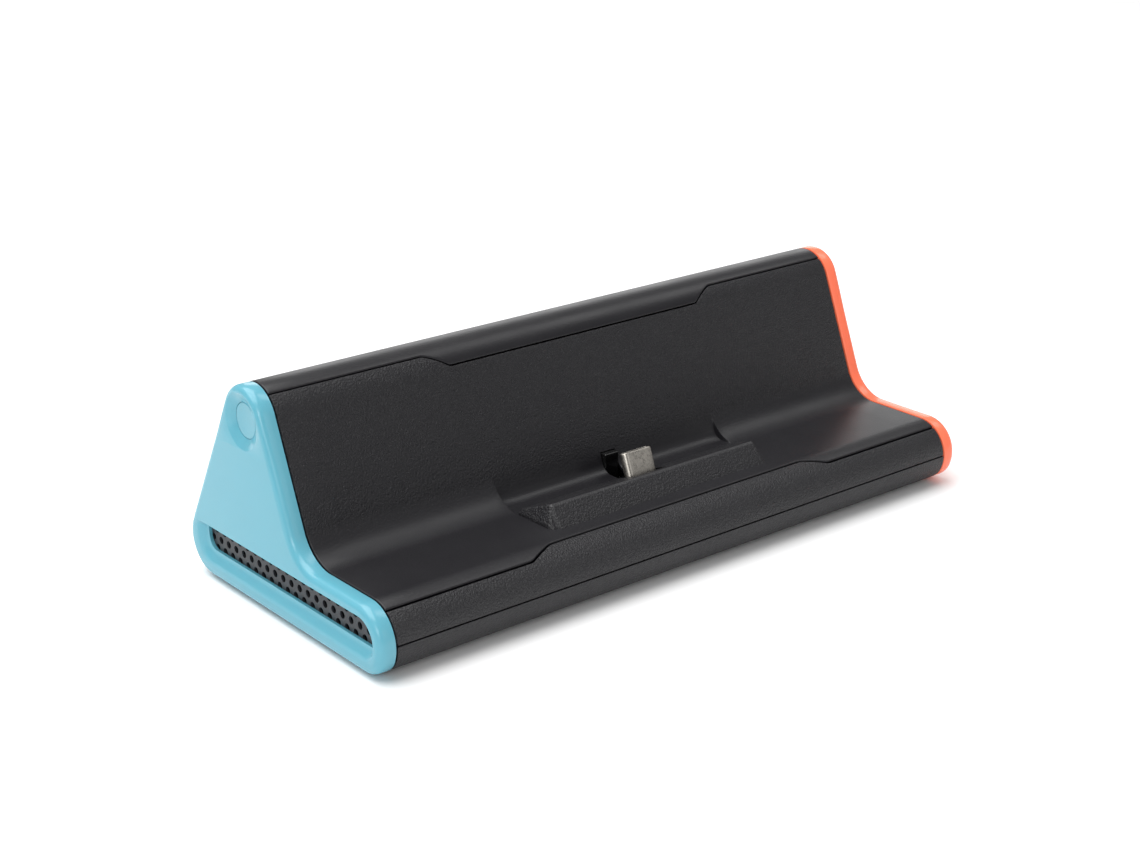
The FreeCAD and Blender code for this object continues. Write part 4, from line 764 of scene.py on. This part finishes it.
class DOCK_OT_caps(BuildStep):
    """Build the coloured end caps and their push buttons"""
    bl_idname = "dock.caps"
    bl_label = "End caps and buttons"

    def build(self, sizes, colours):
        blocks = cap_blocks(sizes)
        apex = section(sizes)[APEX]
        face = node_box("left_end_cap")[0][0]
        # The button's profile from its face inwards: a face that is hollowed by a parabola, an edge rounded by a
        # quarter ellipse, a flange behind the cap and a stem.
        depth, radius = millimetres(sizes.dish_depth), millimetres(sizes.button_round)
        hollow, edge, edge_fall = 0.12, 0.22, 0.16
        profile = [(depth + hollow - hollow * s ** 2, (radius - edge) * s) for s in np.linspace(0.05, 1, 12)]
        profile += [(depth + edge_fall * (1 - math.cos(a)), radius - edge + edge * math.sin(a))
                    for a in quarter(6)[1:]]
        back, flange, thick, stem = millimetres(sizes.cap_plate) + 0.1, 0.85, 0.8, 1.4
        profile += [(back, radius), (back, radius + flange), (back + thick, radius + flange),
                    (back + thick, stem), (node_box("left_button")[1][0] - face, stem)]
        for side, finish, flip in (("left", "blue", False), ("right", "coral", True)):
            make_piece(f"{side}_cap_moulding", blocks, MATERIALS[finish], "dock", [f"{side}_end_cap"],
                       mirrored=flip, crease=28)
            block = turned(profile, np.array([face, apex[0], apex[1]]))
            make_piece(f"{side}_push_button", [block], MATERIALS[finish], f"{side}_push",
                       [f"{side}_button"], mirrored=flip)


class DOCK_OT_plug(BuildStep):
    """Build the plug's metal shell and the glossy backstop behind it"""
    bl_idname = "dock.plug"
    bl_label = "Plug and backstop"

    def build(self, sizes, colours):
        pivot, way = plug_axis(sizes)
        # Rings of a flat-sided oval, (outward offset, height above the pivot), rolled in at the tip.
        wide, thick, sheet, root, tip, roll, set_back = 8.25, 2.4, 0.3, 1.3, 13.5, 0.28, 0.03
        turn = quarter(7)
        steps = [(0.0, root), (0.0, tip - roll),
                 *[(-roll * (1 - math.cos(a)), tip - roll + roll * math.sin(a)) for a in turn[1:]],
                 (-sheet, tip - set_back), (-sheet, root)]
        curves = []
        for offset, height in steps:
            loop = oval(wide / 2 - thick / 2, 0, thick / 2 + offset)
            curves.append(np.column_stack([loop[:, 0], pivot[1] + loop[:, 1] * way[1] + height * way[0],
                                           pivot[2] - loop[:, 1] * way[0] + height * way[1]]))
        curves.append(curves[0])
        make_piece("plug_sleeve", [rings(curves)], MATERIALS["nickel"], "plug", ["plug_shell"])
        low, high = node_box("plug_backstop")
        edge, corner = 0.22, 0.45
        curves = []
        for inset, z in [(0, low[2]), *[(edge * (1 - math.cos(a)), high[2] - edge + edge * math.sin(a))
                                        for a in turn]]:
            loop, _ = outline(soft_box(low[0] + inset, high[0] - inset, low[1] + inset, high[1] - inset,
                                       [corner - inset] * 4), 10, 4)
            curves.append(np.column_stack([loop, np.full(len(loop), z)]))
        make_piece("backstop_post", [rings(curves, True, True)], MATERIALS["gloss"], "dock",
                   ["plug_backstop"])


class DOCK_OT_inlet(BuildStep):
    """Build the metal shell of the power inlet at the back"""
    bl_idname = "dock.inlet"
    bl_label = "Power inlet"

    def build(self, sizes, colours):
        low, high = node_box("inlet_shell")
        middle, half = (low + high) / 2, (high - low) / 2
        # Rings of an oval, (outward offset, y): the outside, the lip rolled in, and a hollow that stops at a thin
        # back wall.
        roll, wall = 0.15, 0.3
        steps = [(0.0, low[1]), (0.0, high[1] - roll),
                 *[(-roll * (1 - math.cos(a)), high[1] - roll + roll * math.sin(a)) for a in quarter(6)[1:]],
                 (-wall, high[1]), (-wall, low[1] + wall)]
        curves = [np.insert(oval(half[0] - half[2], middle[2], half[2] + offset), 1, y, axis=1)
                  for offset, y in steps]
        make_piece("inlet_sleeve", [rings(curves, True, True)], MATERIALS["nickel"], "dock",
                   ["inlet_shell"])


class DOCK_OT_feet(BuildStep):
    """Build the four rubber feet"""
    bl_idname = "dock.feet"
    bl_label = "Feet"

    def build(self, sizes, colours):
        low, high = node_box("rubber_feet")
        radius, edge = 4.5, 0.35
        profile = [(edge * (1 - math.sin(a)), radius - edge * (1 - math.cos(a))) for a in quarter(6)[::-1]]
        profile.append((high[2] - low[2], radius))
        blocks = [turned(profile, np.array([x, y, low[2]]), axis=2, steps=64)
                  for x in (low[0] + radius, high[0] - radius) for y in (low[1] + radius, high[1] - radius)]
        make_piece("foot_pads", blocks, MATERIALS["rubber"], "dock", ["rubber_feet"])


class DOCK_OT_stage(BuildStep):
    """Make the floor, the studio light and the camera"""
    bl_idname = "dock.stage"
    bl_label = "Stage"

    def build(self, sizes, colours):
        scene = bpy.context.scene
        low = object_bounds()[0]
        floor_mesh = bpy.data.meshes.new("studio_floor")
        reach = 3.0
        corners = [(-reach, -reach), (reach, -reach), (reach, reach), (-reach, reach)]
        floor_mesh.from_pydata([(x, y, low.z) for x, y in corners], [], [(0, 1, 2, 3)])
        floor = bpy.data.objects.new("studio_floor", floor_mesh)
        scene.collection.objects.link(floor)
        # Matt white paint on board: pale and even, with a faint roller texture.
        paint, tree, shader, place = start_material("matt_white_floor", Roughness=0.9, Specular_IOR_Level=0.2)
        shader.inputs["Base Color"].default_value = tuple(colours.floor)
        roller = add(tree, "ShaderNodeTexNoise", {"Vector": place, "Scale": 900.0}).outputs["Fac"]
        bump = add(tree, "ShaderNodeBump", {"Height": roller, "Strength": 0.1, "Distance": 0.0002})
        tree.links.new(bump.outputs["Normal"], shader.inputs["Normal"])
        floor_mesh.materials.append(paint)
        floor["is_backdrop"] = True
        world = bpy.data.worlds.new("studio")
        world.use_nodes = True
        surroundings = world.node_tree.nodes["Background"].inputs
        surroundings["Color"].default_value = (1, 1, 1, 1)
        surroundings["Strength"].default_value = 0.38
        scene.world = world
        scene.view_settings.view_transform = "Standard"
        lamps = [  # name, place, aim, width and depth in metres, and power in watts
            ("overhead", (-0.3, 0.25, 1.1), (-0.1, 0.1, 0.02), 1.4, 1.1, 18.0),
            ("rear_right", (0.95, 1.15, 0.5), (0, 0, 0.02), 0.9, 0.6, 3.0),
            ("right_high", (0.62, -0.05, 0.9), (0, 0, 0.02), 0.35, 0.5, 1.4),
            ("front_card", (0.3, -0.95, 0.36), (0, 0, 0.02), 0.5, 0.4, 0.5),
            ("left_front", (-0.85, -0.75, 0.55), (0, 0, 0.02), 0.5, 0.5, 3.5),
        ]
        for name, place, aim, width, depth, power in lamps:
            lamp = bpy.data.lights.new(name, "AREA")
            lamp.shape, lamp.size, lamp.size_y, lamp.energy = "RECTANGLE", width, depth, power
            holder = bpy.data.objects.new(name, lamp)
            holder.location = place
            holder.rotation_euler = (Vector(aim) - Vector(place)).to_track_quat("-Z", "Y").to_euler()
            scene.collection.objects.link(holder)
        make_camera(scene)


def make_camera(scene):
    """A camera in front and to the left of the dock, about 20 degrees above the table."""
    azimuth, elevation, roll = (math.radians(a) for a in (38.756, 20.347, -0.548))
    place, sensor, lens = Vector((-0.26425, -0.32170, 0.17767)), 36.0, 62.22
    forward = Vector((math.sin(azimuth) * math.cos(elevation), math.cos(azimuth) * math.cos(elevation),
                      -math.sin(elevation)))
    right = Vector((math.cos(azimuth), -math.sin(azimuth), 0.0))
    up = right.cross(forward)
    across = right * math.cos(roll) + up * math.sin(roll)
    upward = up * math.cos(roll) - right * math.sin(roll)
    data = bpy.data.cameras.new("camera")
    data.sensor_width, data.lens = sensor, lens
    camera = bpy.data.objects.new("camera", data)
    turn = Matrix((across, upward, -forward)).transposed().to_4x4()
    camera.matrix_world = Matrix.Translation(place) @ turn
    scene.collection.objects.link(camera)
    scene.camera = camera


# ---------------------------------------------------------------- panel and registration

STEPS = (DOCK_OT_finishes, DOCK_OT_shells, DOCK_OT_ledge, DOCK_OT_caps, DOCK_OT_plug, DOCK_OT_inlet,
         DOCK_OT_feet, DOCK_OT_stage)


class DOCK_PT_panel(bpy.types.Panel):
    """Lists the dock's sizes, colours and build steps"""
    bl_idname = "DOCK_PT_panel"
    bl_label = "Speaker dock"
    bl_space_type = "VIEW_3D"
    bl_region_type = "UI"
    bl_category = "Speaker dock"

    def draw(self, context):
        for group in (context.scene.dock_sizes, context.scene.dock_colours):
            for name in group.bl_rna.properties.keys():
                if name not in ("rna_type", "name"):
                    self.layout.prop(group, name)
        for step in STEPS:
            self.layout.operator(step.bl_idname)


CLASSES = (DockSizes, DockColours, *STEPS, DOCK_PT_panel)


def register():
    for item in CLASSES:
        bpy.utils.register_class(item)
    bpy.types.Scene.dock_sizes = PointerProperty(type=DockSizes)
    bpy.types.Scene.dock_colours = PointerProperty(type=DockColours)


def unregister():
    del bpy.types.Scene.dock_sizes, bpy.types.Scene.dock_colours
    for item in reversed(CLASSES):
        bpy.utils.unregister_class(item)


def main():
    register()
    for step in STEPS:
        group, name = step.bl_idname.split(".")
        getattr(getattr(bpy.ops, group), name)()


if __name__ == "__main__":
    main()
